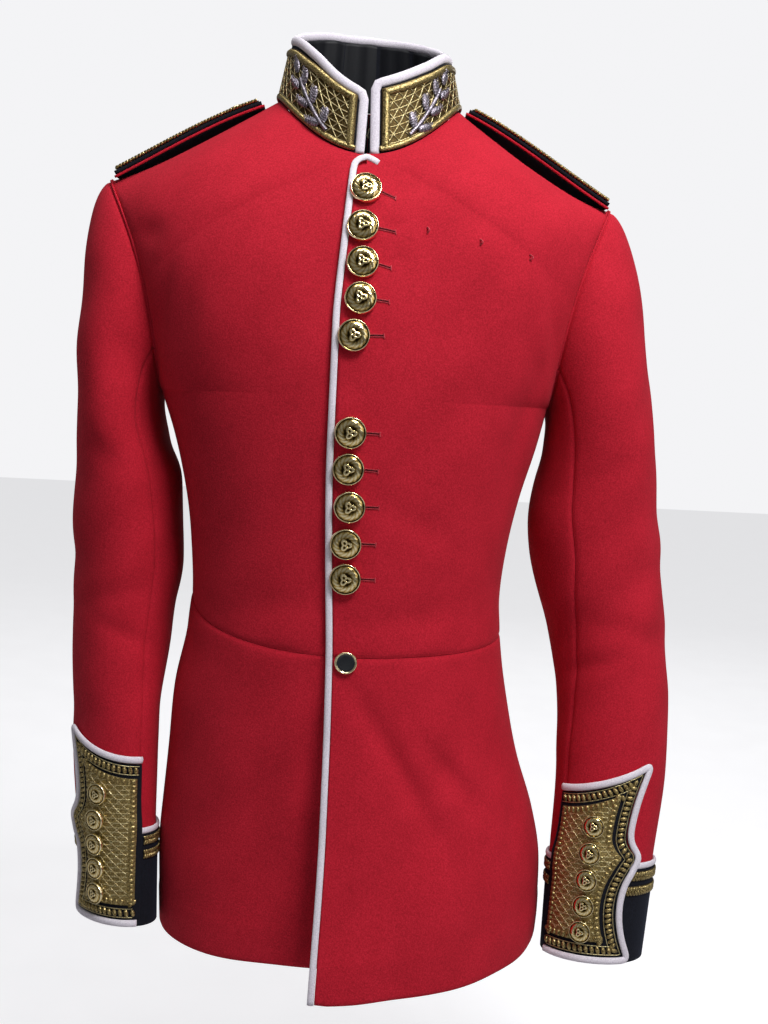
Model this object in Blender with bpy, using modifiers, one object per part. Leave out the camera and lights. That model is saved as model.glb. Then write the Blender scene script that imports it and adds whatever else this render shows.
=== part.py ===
"""Military dress tunic, filled out as on a wearer and hollow, its pieces cut and sewn as the real ones.

Metres, +Z up, the front faces -Y and the wearer's left is +X. The origin is the middle of the neck, level
with the points where the shoulder seams meet the collar. Each panel is a surface worked out from short
tables of sections, and a wall of cloth thickness is made inward from it. What lies on a panel is made from
the same surface, moved out along its normals.
"""

import math

import bmesh
import bpy
import numpy as np
from mathutils import Vector

# ---- Driving sizes, in metres ----
CLOTH = 0.0018  # melton wall
SEAM = 0.00016  # each panel stops this far from the seam line, so two of them lie 0.3 mm apart
LAY = 0.0003  # clearance between two pieces that lie on each other
PIPING = (0.0027, 0.0015)  # half width and half thickness of the white piping
EDGING = (0.0036, 0.0019)  # the same of the collar's white edging
NECK_SIDE, NECK_FRONT, NECK_BACK = 0.078, 0.085, 0.065  # neckline ring from its middle
PIT_Z, NAPE_Z = -0.056, 0.012  # neckline at the front and at the back
TIPS = {-1: (0.2185, -0.0735), 1: (0.2130, -0.0765)}  # shoulder tips: out from the centre, height
SHOULDER_HOLLOWS = {-1: 0.0125, 1: 0.0173}  # how far each shoulder line is drawn down on its way to the tip
ARMPIT_X, ARMPIT_Z = 0.169, -0.250
ARMHOLE_FRONT, ARMHOLE_BACK = 0.060, 0.066  # depth of the armhole loop before and behind the side seam
SIDE_Y = 0.003  # side seam
WAIST_FRONT_Z, WAIST_BACK_Z = -0.458, -0.440
WAIST_SIDES = {-1: -0.425, 1: -0.451}  # waist seam at the right and left side seams
BACK_HEM_Z = -0.721
SIDE_HEMS = {-1: -0.726, 1: -0.715}  # hem at the right and left side seams
FRONT_HEMS = {-1: -0.721, 1: -0.732}  # hem at the centre line of the right and left front
LATE_CLIMB = 0.20  # the waist seam keeps level and climbs beside the side seam: more of this, and later
UNDERLAP = 0.016  # right front's reach past the centre line, under the left front
LIFT = 0.0031  # the left front lies this far above the right one where they overlap
LIFT_ENDS = (0.020, 0.060)  # the lift fades out between these distances from the centre line
RIGHT_SLEEVE_END_Z, LEFT_SLEEVE_END_Z = -0.715, -0.724
CUFF_HEIGHT = 0.078
FOREARM_SEAM, HIND_SEAM = -38.0, 172.0  # degrees round the sleeve from its fore edge, outward
COLLAR_TOP_SIDE, COLLAR_TOP_FRONT, COLLAR_TOP_BACK = 0.067, 0.080, 0.058
COLLAR_GAPS = (0.0060, 0.0024)  # between the collar's front edges, at the foot and at the top
# The collar's top edge on the wearer's right and left: degrees from the front, height
COLLAR_TOPS = {-1: ((0, -0.0065), (20, 0.0076), (40, 0.0280), (60, 0.0440), (90, 0.0570), (120, 0.0700),
                    (150, 0.0775), (180, 0.0780)),
               1: ((0, 0.0025), (20, 0.0120), (40, 0.0245), (60, 0.0380), (90, 0.0475), (120, 0.0620),
                   (150, 0.0730), (180, 0.0780))}
COLLAR_LINING = 0.0010

# Centre front and centre back lines from the waist to the neck: height, distance before or behind the middle
CENTRE_FRONT = ((-0.458, 0.112), (-0.400, 0.114), (-0.330, 0.119), (-0.250, 0.125), (-0.180, 0.122),
                (-0.120, 0.111), (-0.080, 0.097), (PIT_Z, NECK_FRONT))
CENTRE_BACK = ((-0.440, 0.098), (-0.350, 0.106), (-0.250, 0.121), (-0.150, 0.122), (-0.080, 0.108),
               (-0.030, 0.087), (NAPE_Z, NECK_BACK))
# Sides of the body from the waist to the armpit: height, half width on the wearer's right, and left
SIDES = ((-0.458, 0.1400, 0.1400), (-0.442, 0.1385, 0.1385), (-0.420, 0.1363, 0.137), (-0.375, 0.139, 0.1405),
         (-0.330, 0.1455, 0.149), (-0.285, 0.157, 0.161), (ARMPIT_Z, ARMPIT_X, ARMPIT_X))
# Skirts: height, half width right and left, depth of the right front, the left front and the backs
SKIRT = ((-0.420, 0.1363, 0.1370, 0.112, 0.112, 0.098),
         (-0.440, 0.1385, 0.1385, 0.112, 0.112, 0.098),
         (-0.458, 0.1400, 0.1400, 0.112, 0.112, 0.099),
         (-0.505, 0.149, 0.148, 0.112, 0.114, 0.104),
         (-0.560, 0.1525, 0.161, 0.110, 0.119, 0.111),
         (-0.610, 0.156, 0.178, 0.108, 0.125, 0.117),
         (-0.650, 0.158, 0.186, 0.107, 0.131, 0.122),
         (-0.690, 0.157, 0.187, 0.106, 0.1385, 0.126),
         (-0.730, 0.155, 0.184, 0.105, 0.1435, 0.129))
# How a row across a panel bends: level (0 waist, 1 armpit, 2 neckline's lowest point, 3 shoulder seam), reach of
# the handle at the centre line as a share of the width, its swell, and the same two at the side or armhole
FRONT_ROWS = ((0.0, 0.60, 0.000, 0.00, 0.070), (1.0, 0.60, 0.000, 0.00, 0.078), (1.5, 0.55, 0.002, 0.10, 0.077),
              (2.0, 0.42, 0.014, 0.25, 0.066), (2.5, 0.36, 0.012, 0.31, 0.038), (3.0, 0.33, 0.000, 0.33, 0.000))
BACK_ROWS = ((0.0, 0.60, 0.000, 0.00, 0.060), (1.0, 0.62, 0.000, 0.00, 0.076), (1.5, 0.60, 0.004, 0.10, 0.070),
             (2.0, 0.42, 0.022, 0.25, 0.054), (2.5, 0.36, 0.014, 0.31, 0.032), (3.0, 0.33, 0.000, 0.33, 0.000))
# Folds of the body: side (-1 right), behind, out from the centre, height, half length, half width, degrees that
# the top leans inward, depth (below 0 for a ridge)
FOLDS = ((1, False, 0.118, -0.535, 0.055, 0.017, 18, 0.0050), (1, False, 0.078, -0.610, 0.045, 0.018, -52, 0.0035),
         (1, False, 0.090, -0.665, 0.050, 0.024, 10, -0.0040), (1, False, 0.146, -0.215, 0.040, 0.014, 20, 0.0040),
         (-1, False, 0.146, -0.205, 0.036, 0.014, 14, 0.0040), (-1, False, 0.060, -0.600, 0.080, 0.026, -6, 0.0035),
         (-1, True, 0.070, -0.600, 0.075, 0.024, 8, 0.0045), (1, True, 0.060, -0.590, 0.080, 0.026, -5, 0.0045),
         (-1, True, 0.150, -0.215, 0.040, 0.015, 18, 0.0045), (1, True, 0.150, -0.220, 0.040, 0.015, 22, 0.0045),
         (-1, True, 0.085, -0.400, 0.028, 0.040, 10, 0.0030), (1, True, 0.080, -0.405, 0.026, 0.042, -8, 0.0030))
# Front edge of the left side: height, distance past the centre line
FRONT_EDGE = ((-0.732, 0.0130), (-0.600, 0.0098), (-0.458, 0.0113), (-0.373, 0.0154), (-0.290, 0.0178),
              (-0.190, 0.0178), (-0.120, 0.0140), (PIT_Z, 0.0095))
# Sleeves below the armpit: height, middle out from the centre, middle's depth, half across, half fore to
# hind, degrees that the section is turned inward at its fore edge, degrees that the cloth is turned on it
RIGHT_SLEEVE = ((-0.285, 0.2030, 0.004, 0.0385, 0.068, 0, 0), (-0.330, 0.1972, 0.007, 0.0462, 0.066, 2, 2),
                (-0.400, 0.1965, 0.010, 0.0485, 0.061, 8, 8), (-0.461, 0.1990, 0.008, 0.0430, 0.058, 16, 16),
                (-0.500, 0.2008, 0.004, 0.0395, 0.056, 22, 21), (-0.540, 0.2010, -0.001, 0.0365, 0.055, 27, 27),
                (-0.597, 0.1987, -0.008, 0.0335, 0.0515, 32, 33), (-0.650, 0.1947, -0.014, 0.0300, 0.0485, 34, 38),
                (RIGHT_SLEEVE_END_Z, 0.1900, -0.022, 0.0275, 0.0460, 35, 42))
LEFT_SLEEVE = ((-0.285, 0.2180, 0.004, 0.0495, 0.066, 0, 0), (-0.330, 0.2180, 0.006, 0.0560, 0.063, 0, 6),
               (-0.375, 0.2220, 0.007, 0.0580, 0.060, 0, 10), (-0.410, 0.2280, 0.006, 0.0565, 0.057, 0, 5),
               (-0.450, 0.2362, 0.002, 0.0525, 0.053, 0, -5), (-0.500, 0.2436, -0.006, 0.0495, 0.049, 0, -16),
               (-0.560, 0.2440, -0.017, 0.0485, 0.045, 0, -24), (-0.640, 0.2375, -0.031, 0.0455, 0.041, 0, -30),
               (LEFT_SLEEVE_END_Z, 0.2315, -0.042, 0.0425, 0.039, 0, -36))
# How the sleeve leaves the armhole: degrees round it from the tip by the front, direction (out, front, down)
# and how far it keeps that direction
SLEEVE_HEAD = ((0, 0.940, 0.00, 0.340, 0.030), (45, 0.80, 0.15, 0.55, 0.030), (90, 0.70, 0.30, 0.62, 0.028),
               (135, 0.45, 0.25, 0.85, 0.020), (180, 0.30, 0.00, 0.95, 0.012), (225, 0.45, -0.25, 0.85, 0.020),
               (270, 0.70, -0.30, 0.62, 0.028), (315, 0.80, -0.15, 0.55, 0.030), (360, 0.940, 0.00, 0.340, 0.030))
HEAD_SHARE = 0.26  # the part of a sleeve's length that lies above its first section
# Cuff flap: height above the sleeve's end and width, at its points and at the hollows between them
FLAP_POINTS = ((0.001, 0.079), (0.089, 0.077), (0.167, 0.081))
FLAP_HOLLOWS = ((0.050, 0.0645), (0.106, 0.0675))
FLAP_SEAM_HEIGHT = 0.144
FLAP_BUTTONS = (0.027, 0.0485, 0.070, 0.0915, 0.113)
FLAP_BUTTON_REACH = 0.0345
# Front buttons: out from the centre line, height
FRONT_BUTTONS = ((0.0004, -0.0868), (-0.0004, -0.1172), (0.0009, -0.1455), (0.0004, -0.1735), (-0.0036, -0.2015),
                 (-0.0026, -0.2767), (-0.0026, -0.3055), (-0.0006, -0.3350), (-0.0021, -0.3645), (-0.0011, -0.3930))
WAIST_BUTTON = (0.0024, -0.4610)
LARGE_BUTTON, SMALL_BUTTON, PLAIN_BUTTON = (0.0127, 0.0072), (0.0095, 0.0056), (0.0092, 0.0034)  # radius, height
STRAP_ENDS = {-1: (0.2115, 0.0900), 1: (0.2080, 0.0840)}  # outer and inner end, out from the centre
STRAP_HALF_WIDTHS = (0.0275, 0.0215)  # at the shoulder tip and at the collar
STRAP_END_RISE = 0.0010  # a strap's clearance over the shoulder seam at its ends
STRAP_ARCHES = {-1: 0.0080, 1: 0.0105}  # how much more the stiff strap stands off the hollow shoulder, halfway
STRAP_DROP = 0.0042  # a strap's edges lie this much lower than its middle at the shoulder tip
STRAP_FLATTENED = (0.5, 0.95)  # share of the drop that is gone at the collar, before and behind the seam

# ---- Colours: red, green, blue, roughness, metallic ----
FINISHES = {
    "scarlet_melton": (0.50, 0.012, 0.022, 0.95, 0.0),
    "white_piping": (0.74, 0.70, 0.76, 0.85, 0.0),
    "navy_facing": (0.010, 0.012, 0.022, 0.95, 0.0),
    "gold_lace": (0.46, 0.33, 0.11, 0.42, 0.8),
    "gilt_brass": (0.78, 0.56, 0.22, 0.22, 1.0),
}

for old in list(bpy.data.objects):
    bpy.data.objects.remove(old)
TUNIC = bpy.data.collections.new("military_dress_tunic")
bpy.context.scene.collection.children.link(TUNIC)


def finish(name):
    """The material of that name, made the first time it is asked for."""
    material = bpy.data.materials.get(name)
    if material is None:
        material = bpy.data.materials.new(name)
        material.use_nodes = True
        shader = material.node_tree.nodes["Principled BSDF"]
        red, green, blue, roughness, metallic = FINISHES[name]
        shader.inputs["Base Color"].default_value = (red, green, blue, 1.0)
        shader.inputs["Roughness"].default_value = roughness
        shader.inputs["Metallic"].default_value = metallic
    return material


# ---- Curves through the tables ----
def through(table, column, at):
    """Monotone cubic through one column of a table, whose first column is the place along it."""
    table = np.array(sorted(table), dtype=float)
    x, y = table[:, 0], table[:, column]
    at = np.clip(np.asarray(at, dtype=float), x[0], x[-1])
    step = np.diff(x)
    slope = np.diff(y) / step
    tangent = np.concatenate(([slope[0]], (slope[:-1] + slope[1:]) / 2, [slope[-1]]))
    turns = np.concatenate(([False], slope[:-1] * slope[1:] <= 0, [False]))
    tangent[turns] = 0.0
    limit = 3 * np.minimum(np.abs(np.append(slope, slope[-1])), np.abs(np.insert(slope, 0, slope[0])))
    tangent = np.clip(tangent, -limit, limit)
    i = np.clip(np.searchsorted(x, at) - 1, 0, len(step) - 1)
    t = (at - x[i]) / step[i]
    return (y[i] * (1 + 2 * t) * (1 - t) ** 2 + y[i + 1] * t * t * (3 - 2 * t)
            + step[i] * (tangent[i] * t * (1 - t) ** 2 - tangent[i + 1] * t * t * (1 - t)))


def ease(value, start, end):
    """0 before start, 1 after end, with a smooth turn between them."""
    t = np.clip((np.asarray(value, dtype=float) - start) / (end - start), 0.0, 1.0)
    return t * t * (3 - 2 * t)


def vector(x, y, z):
    return np.stack(np.broadcast_arrays(x, y, z), axis=-1).astype(float)


def bezier(p0, p1, p2, p3, t):
    t = np.asarray(t)[..., None]
    return (1 - t) ** 3 * p0 + 3 * t * (1 - t) ** 2 * p1 + 3 * t * t * (1 - t) * p2 + t ** 3 * p3


def moved_out(surface, u, v, distance, step=0.002):
    """Points of a surface moved along its normals, which point to the left of u turning to v seen from outside."""
    u, v = np.broadcast_arrays(np.asarray(u, dtype=float), np.asarray(v, dtype=float))
    du = surface(u + step, v) - surface(u - step, v)
    dv = surface(u, v + step) - surface(u, v - step)
    normal = np.cross(du, dv)
    normal /= np.maximum(np.linalg.norm(normal, axis=-1, keepdims=True), 1e-12)
    return surface(u, v) + normal * np.asarray(distance)[..., None]


# ---- Neckline, armhole and the body's panels ----
def neckline(turn):
    """Points of the neckline, by degrees from the front, for the wearer's left."""
    c, s = np.cos(np.radians(turn)), np.sin(np.radians(turn))
    front = c > 0
    return vector(NECK_SIDE * s, np.where(front, -NECK_FRONT * c, -NECK_BACK * c),
                  np.where(front, PIT_Z * c * c, NAPE_Z * c * c))


def armhole(side, turn):
    """Points of a side's armhole, by degrees from the shoulder tip round the front, with x away from the centre."""
    tip_x, tip_z = TIPS[side]
    c, s = np.cos(np.radians(turn)), np.sin(np.radians(turn))
    z = (tip_z + ARMPIT_Z) / 2 + (tip_z - ARMPIT_Z) / 2 * c
    height = (z - ARMPIT_Z) / (tip_z - ARMPIT_Z)
    x = ARMPIT_X + (tip_x - ARMPIT_X) * height ** 2.2
    centre = SIDE_Y * (1 - height)
    return vector(x, np.where(s > 0, centre - ARMHOLE_FRONT * s, centre - ARMHOLE_BACK * s), z)


def panel(side, back, across, level):
    """A forepart's or back's surface: across from the centre line (0) to the side (1), level from the waist (0)
    by the armpit (1) and the neckline's end (2) to the shoulder seam (3)."""
    across, level = np.broadcast_arrays(np.asarray(across, dtype=float), np.asarray(level, dtype=float))
    sign = 1 if back else -1
    centre, rows = (CENTRE_BACK, BACK_ROWS) if back else (CENTRE_FRONT, FRONT_ROWS)
    bottom, top = centre[0][0], centre[-1][0]
    shared = bottom + (ARMPIT_Z - bottom) * level
    centre_z = np.where(level < 1, shared, ARMPIT_Z + (top - ARMPIT_Z) * (level - 1))
    on_centre = vector(0, sign * through(centre, 1, centre_z), centre_z)
    neck_turn = np.clip(level - 2, 0, 1.2) * 90
    start = np.where((level < 2)[..., None], on_centre, neckline(180 - neck_turn if back else neck_turn))
    side_z = WAIST_SIDES[side] + (ARMPIT_Z - WAIST_SIDES[side]) * level
    on_side = vector(through(SIDES, 1 if side < 0 else 2, side_z), SIDE_Y, side_z)
    arm_turn = (3 - np.maximum(level, 1)) * 90
    end = np.where((level < 1)[..., None], on_side, armhole(side, -arm_turn if back else arm_turn))
    width = end - start
    reach, swell = through(rows, 1, level), through(rows, 2, level)
    back_off, side_swell = through(rows, 3, level), through(rows, 4, level)
    from_waist, hollow = ease(level, 0, 1), SHOULDER_HOLLOWS[side] * ease(level, 2, 3)
    rise, fall = width[..., 2] * from_waist * reach / 1.5, width[..., 2] * (LATE_CLIMB + 1 / 3 - LATE_CLIMB * from_waist)
    first = start + vector(reach * width[..., 0], sign * swell, rise - hollow)
    second = end + vector(-back_off * width[..., 0], sign * side_swell, -fall - hollow)
    points = bezier(start, first, second, end, np.abs(across))
    points[..., 0] *= np.where(across < 0, -side, side)
    return points


def skirt(side, back, across, level):
    """A skirt's surface: across from the centre line (0) to the side seam (1), level from the hem (0) to the
    waist (1)."""
    across, level = np.broadcast_arrays(np.asarray(across, dtype=float), np.asarray(level, dtype=float))
    sign = 1 if back else -1
    waist = WAIST_BACK_Z if back else WAIST_FRONT_Z
    hem, side_hem = BACK_HEM_Z if back else FRONT_HEMS[side], SIDE_HEMS[side]
    z0, z1 = hem + (waist - hem) * level, side_hem + (WAIST_SIDES[side] - side_hem) * level
    depth_column = 5 if back else (3 if side < 0 else 4)
    start = vector(0, sign * through(SKIRT, depth_column, z0), z0)
    end = vector(through(SKIRT, 1 if side < 0 else 2, z1), SIDE_Y, z1)
    width = end - start
    to_waist = ease(level, 0, 1)
    first = start + vector(0.60 * width[..., 0], 0, width[..., 2] * (1 - to_waist) / 3)
    second = end - vector(0, 0.61 * width[..., 1], width[..., 2] * (1 / 3 + LATE_CLIMB * to_waist))
    points = bezier(start, first, second, end, np.abs(across))
    points[..., 0] *= np.where(across < 0, -side, side)
    return points


def across_at(surface, distance, level):
    """The place across a panel whose x is that far from the centre line."""
    steps = np.linspace(0, 0.5, 41)
    xs = np.abs(surface(steps, np.full(steps.shape, float(level)))[:, 0])
    return math.copysign(float(np.interp(abs(distance), xs, steps)), distance)


# ---- Sleeves ----
def sleeve_sections(side):
    return LEFT_SLEEVE if side > 0 else RIGHT_SLEEVE


def sleeve_end(side):
    return sleeve_sections(side)[-1][0]


def sleeve_ring(side, turn, z):
    """Points of the sleeve below the armpit, by degrees from its fore edge outward, and by height."""
    table = sleeve_sections(side)
    out, depth, across, fore, section_turn, cloth_turn = (through(table, k, z) for k in range(1, 7))
    step = 0.01
    inner = np.clip(z, table[-1][0] + step, table[0][0] - step)
    lean = (through(table, 2, inner - step) - through(table, 2, inner + step)) / (2 * step)
    angle, twist = np.radians(turn + cloth_turn), np.radians(section_turn)
    a, f = across * np.sin(angle), fore * np.cos(angle)
    outward, forward = a * np.cos(twist) - f * np.sin(twist), a * np.sin(twist) + f * np.cos(twist)
    return vector(out + outward, depth - forward, z - lean * forward)


def sleeve(side, turn, along):
    """A sleeve's surface: turn in degrees from its fore edge outward, along from the armhole (0) to its end (1)."""
    turn, along = np.broadcast_arrays(np.asarray(turn, dtype=float), np.asarray(along, dtype=float))
    top = sleeve_sections(side)[0][0]
    end = sleeve_end(side)
    z = np.clip(top + (end - top) * (along - HEAD_SHARE) / (1 - HEAD_SHARE), end - 0.02, top)
    ring = sleeve_ring(side, turn, z)
    loop_turn = (90.0 - turn) % 360.0
    loop = armhole(side, loop_turn)
    heading = vector(through(SLEEVE_HEAD, 1, loop_turn), -through(SLEEVE_HEAD, 2, loop_turn),
                     -through(SLEEVE_HEAD, 3, loop_turn))
    heading /= np.linalg.norm(heading, axis=-1, keepdims=True)
    first_ring = sleeve_ring(side, turn, np.full(turn.shape, top))
    below = sleeve_ring(side, turn, np.full(turn.shape, top - 0.01))
    down = (below - first_ring) / 0.01
    gap = np.linalg.norm(first_ring - loop, axis=-1, keepdims=True)
    head = bezier(loop, loop + heading * through(SLEEVE_HEAD, 4, loop_turn)[..., None],
                  first_ring - down * gap * 0.38, first_ring, np.clip(along / HEAD_SHARE, 0, 1))
    points = np.where((along < HEAD_SHARE)[..., None], head, ring)
    points[..., 0] *= side
    return points


def turn_at(side, reach, height):
    """Degrees round the sleeve at a distance from the forearm seam, at a height above the sleeve's end."""
    reach, height = np.broadcast_arrays(np.asarray(reach, dtype=float), np.asarray(height, dtype=float))
    turns = np.linspace(FOREARM_SEAM, FOREARM_SEAM + 360, 181)
    ring = sleeve_ring(side, turns, sleeve_end(side) + height[..., None])
    arcs = np.linalg.norm(np.diff(ring, axis=-2), axis=-1)
    run = np.concatenate((np.zeros(arcs.shape[:-1] + (1,)), np.cumsum(arcs, axis=-1)), axis=-1)
    flat = [np.interp(r, line, turns) for r, line in zip(reach.ravel(), run.reshape(-1, len(turns)))]
    return np.array(flat).reshape(reach.shape)


def along_at(side, height):
    top = sleeve_sections(side)[0][0]
    z = sleeve_end(side) + np.asarray(height, dtype=float)
    return HEAD_SHARE + (1 - HEAD_SHARE) * (z - top) / (sleeve_end(side) - top)


def on_sleeve(side, reach, height, distance):
    """A point on the forearm, moved out from the sleeve's outer face."""
    reach, height = np.broadcast_arrays(np.asarray(reach, dtype=float), np.asarray(height, dtype=float))
    turn, along = turn_at(side, reach, height), along_at(side, height)
    return moved_out(lambda a, b: sleeve(side, a * 100, b), turn / 100, along, -side * np.asarray(distance))


# ---- Making solids ----
def keep(obj, material):
    obj.data.materials.append(finish(material))
    TUNIC.objects.link(obj)
    return obj


def sheet(name, points, material, wall=CLOTH, flip=False, closed=False, drop=None):
    """A cloth wall from a grid of points on its outer face; drop names the grid's squares that are left out."""
    rows, columns = points.shape[:2]
    mesh = bpy.data.meshes.new(name)
    faces = []
    for i in range(rows - 1):
        for j in range(columns if closed else columns - 1):
            if drop is not None and drop(i, j):
                continue
            k = (j + 1) % columns
            face = (i * columns + j, i * columns + k, (i + 1) * columns + k, (i + 1) * columns + j)
            faces.append(face[::-1] if flip else face)
    mesh.from_pydata(points.reshape(-1, 3).tolist(), [], faces)
    bm = bmesh.new()
    bm.from_mesh(mesh)
    bmesh.ops.delete(bm, geom=[v for v in bm.verts if not v.link_faces], context="VERTS")
    bm.to_mesh(mesh)
    bm.free()
    mesh.shade_smooth()
    obj = bpy.data.objects.new(name, mesh)
    thick = obj.modifiers.new("cloth", "SOLIDIFY")
    thick.thickness = wall
    thick.offset = -1.0
    thick.use_even_offset = True
    return keep(obj, material)


def piping(name, points, normals, size, material, closed=False, sides=6):
    """A flattened cord along a line of points, its broad side turned along the normals."""
    points = np.asarray(points)
    if closed:
        ahead = np.roll(points, -1, axis=0) - np.roll(points, 1, axis=0)
    else:
        ahead = np.gradient(points, axis=0)
    ahead /= np.linalg.norm(ahead, axis=1, keepdims=True)
    beside = np.cross(normals, ahead)
    beside /= np.linalg.norm(beside, axis=1, keepdims=True)
    up = np.cross(ahead, beside)
    bm = bmesh.new()
    rings = []
    for point, b, n in zip(points, beside, up):
        ring = [bm.verts.new(point + b * size[0] * math.cos(t) + n * size[1] * math.sin(t))
                for t in (2 * math.pi * k / sides for k in range(sides))]
        rings.append(ring)
    for i in range(len(rings) if closed else len(rings) - 1):
        here, there = rings[i], rings[(i + 1) % len(rings)]
        for k in range(sides):
            bm.faces.new((here[k], here[(k + 1) % sides], there[(k + 1) % sides], there[k]))
    if not closed:
        bm.faces.new(rings[0])
        bm.faces.new(rings[-1][::-1])
    bmesh.ops.recalc_face_normals(bm, faces=bm.faces)
    mesh = bpy.data.meshes.new(name)
    bm.to_mesh(mesh)
    bm.free()
    mesh.shade_smooth()
    return keep(bpy.data.objects.new(name, mesh), material)


def button(name, place, normal, radius, height, material="gilt_brass", domed=True, steps=14):
    """A turned metal button on its seat, its face turned along the normal."""
    edge = 0.0016 if domed else 0.0020
    if domed:
        profile = [(0.0, height), (0.42 * radius, 0.93 * height), (0.80 * radius, 0.62 * height),
                   (0.90 * radius, edge * 1.3), (radius, edge), (0.96 * radius, 0.0), (0.0, 0.0)]
    else:
        profile = [(0.0, height - 0.0007), (0.80 * radius, height - 0.0007), (0.90 * radius, height),
                   (radius, edge * 0.5), (0.94 * radius, 0.0), (0.0, 0.0)]
    mesh = bpy.data.meshes.new(name)
    mesh.from_pydata([(r, 0.0, z) for r, z in profile], [(i, i + 1) for i in range(len(profile) - 1)], [])
    obj = bpy.data.objects.new(name, mesh)
    screw = obj.modifiers.new("turned", "SCREW")
    screw.steps = screw.render_steps = steps
    screw.use_merge_vertices = True
    screw.merge_threshold = 0.00001
    screw.use_normal_calculate = True
    obj.location = Vector(place)
    obj.rotation_euler = Vector(normal).to_track_quat("Z", "Y").to_euler()
    return keep(obj, material)


def seat(point_at, radius, around=8):
    """Where a button of that radius lies clear on a surface, and its normal: point_at gives the points round it."""
    here, out = point_at(0.0, 0.0, 0.0), point_at(0.0, 0.0, 0.01)
    normal = (out - here) / np.linalg.norm(out - here)
    turns = [2 * math.pi * k / around for k in range(around)]
    rim = [point_at(radius * math.cos(t), radius * math.sin(t), 0.0) for t in turns]
    highest = max([0.0] + [float(np.dot(point - here, normal)) for point in rim])
    return here + normal * (highest + LAY), normal


SIDE_NAMES = {-1: "right", 1: "left"}  # the wearer's

# ---- Body panels ----
def surface_of(shape, side, back):
    """A panel's or a skirt's surface with its folds, and the left front lifted over the right one."""
    def surface(across, level):
        points = shape(side, back, across, level)
        outward = 1 if back else -1
        from_waist = 1 - level if shape is skirt else level
        clear_of_seams = ease(1 - np.abs(across), 0.0, 0.25) * ease(from_waist, 0.0, 0.25)
        if back:
            clear_of_seams = clear_of_seams * ease(across, 0.0, 0.25)
        for fold_side, fold_back, x, z, half_length, half_width, lean, depth in FOLDS:
            if (fold_side, fold_back) != (side, back):
                continue
            dx, dz = side * points[..., 0] - x, points[..., 2] - z
            c, s = math.cos(math.radians(lean)), math.sin(math.radians(lean))
            reach = ((dx * c + dz * s) / half_width) ** 2 + ((dz * c - dx * s) / half_length) ** 2
            points[..., 1] -= outward * depth * np.exp(-reach) * clear_of_seams
        if side > 0 and not back:
            points[..., 1] -= LIFT * (1 - ease(points[..., 0], *LIFT_ENDS))
        return points
    return surface


def edge_past_centre(side, z):
    """How far a front reaches past the centre line at a height."""
    return float(through(FRONT_EDGE, 1, z)) - PIPING[0] - LAY if side > 0 else UNDERLAP


BRIM = 0.0012  # a panel's last strip beside a seam is this narrow, so that two walls meet along one normal
NECK_SETBACKS = (0.0015, 0.0008)  # share of a forepart's and a back's width kept clear of the neckline
FRONT_TOP_LEVEL = 1.953  # where the overlapped strip of a forepart ends, below the collar
BODY_COLUMNS, SKIRT_COLUMNS = 9, 13
PANEL_LEVELS = np.concatenate(([0.0012], np.linspace(0, 1, 6)[1:], np.linspace(1, FRONT_TOP_LEVEL, 6)[1:], [2.0],
                               np.linspace(2, 3, 7)[1:-1], [2.975, 2.9975]))


def grid_across(surface, levels, columns, first):
    """Places across a panel for each level: from the first one to the seam's clearance at the side."""
    lines = []
    for level in levels:
        steps = np.linspace(0, 1, 41)
        run = surface(steps, np.full(41, level))
        length = np.concatenate(([0], np.cumsum(np.linalg.norm(np.diff(run, axis=0), axis=1))))
        start = first(level)
        places = np.append(np.linspace(SEAM if start is None else 0.0, length[-1] - SEAM - BRIM, columns),
                           length[-1] - SEAM)
        inner = np.interp(places, length, steps)
        lines.append(inner if start is None else np.concatenate(([start], inner)))
    return np.array(lines)


def centre_height(level):
    """Height of a forepart's level on the centre line."""
    if level < 1:
        return WAIST_FRONT_Z + (ARMPIT_Z - WAIST_FRONT_Z) * level
    return ARMPIT_Z + (PIT_Z - ARMPIT_Z) * (min(level, 2) - 1)


def skirt_height(side, level):
    """Height of a front skirt's level on the centre line."""
    return FRONT_HEMS[side] + (WAIST_FRONT_Z - FRONT_HEMS[side]) * level


# ---- Foreparts: the left one laps over the right ----
for side in (-1, 1):
    surface = surface_of(panel, side, False)

    def past(level):
        level = min(level, 1.999)
        return across_at(surface, -edge_past_centre(side, centre_height(level)), level)

    across = grid_across(surface, PANEL_LEVELS, BODY_COLUMNS, past)
    across[PANEL_LEVELS > 2.001, 1] += NECK_SETBACKS[0]
    points = surface(across, PANEL_LEVELS[:, None] * np.ones(across.shape))
    top_row = int(np.argmax(PANEL_LEVELS >= FRONT_TOP_LEVEL))
    sheet(f"forepart_{SIDE_NAMES[side]}", points, "scarlet_melton", flip=side < 0,
          drop=lambda i, j: j == 0 and i >= top_row)

# ---- Backs, joined down the middle ----
for side in (-1, 1):
    surface = surface_of(panel, side, True)
    across = grid_across(surface, PANEL_LEVELS, BODY_COLUMNS, lambda level: None)
    across[PANEL_LEVELS > 2.001, 0] += NECK_SETBACKS[1]
    points = surface(across, PANEL_LEVELS[:, None] * np.ones(across.shape))
    sheet(f"back_{SIDE_NAMES[side]}", points, "scarlet_melton", flip=side > 0)

# ---- Skirts below the waist seam, two in front and two behind ----
SKIRT_LEVELS = np.append(np.linspace(0, 1, 9)[:-1], 1 - SEAM / (WAIST_BACK_Z - BACK_HEM_Z))
for side in (-1, 1):
    for back in (False, True):
        surface = surface_of(skirt, side, back)

        def past(level):
            return across_at(surface, -edge_past_centre(side, skirt_height(side, level)), level)

        across = grid_across(surface, SKIRT_LEVELS, SKIRT_COLUMNS, (lambda level: None) if back else past)
        points = surface(across, SKIRT_LEVELS[:, None] * np.ones(across.shape))
        name = f"{'back' if back else 'front'}_skirt_{SIDE_NAMES[side]}"
        sheet(name, points, "scarlet_melton", flip=(side < 0) != back)

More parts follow.
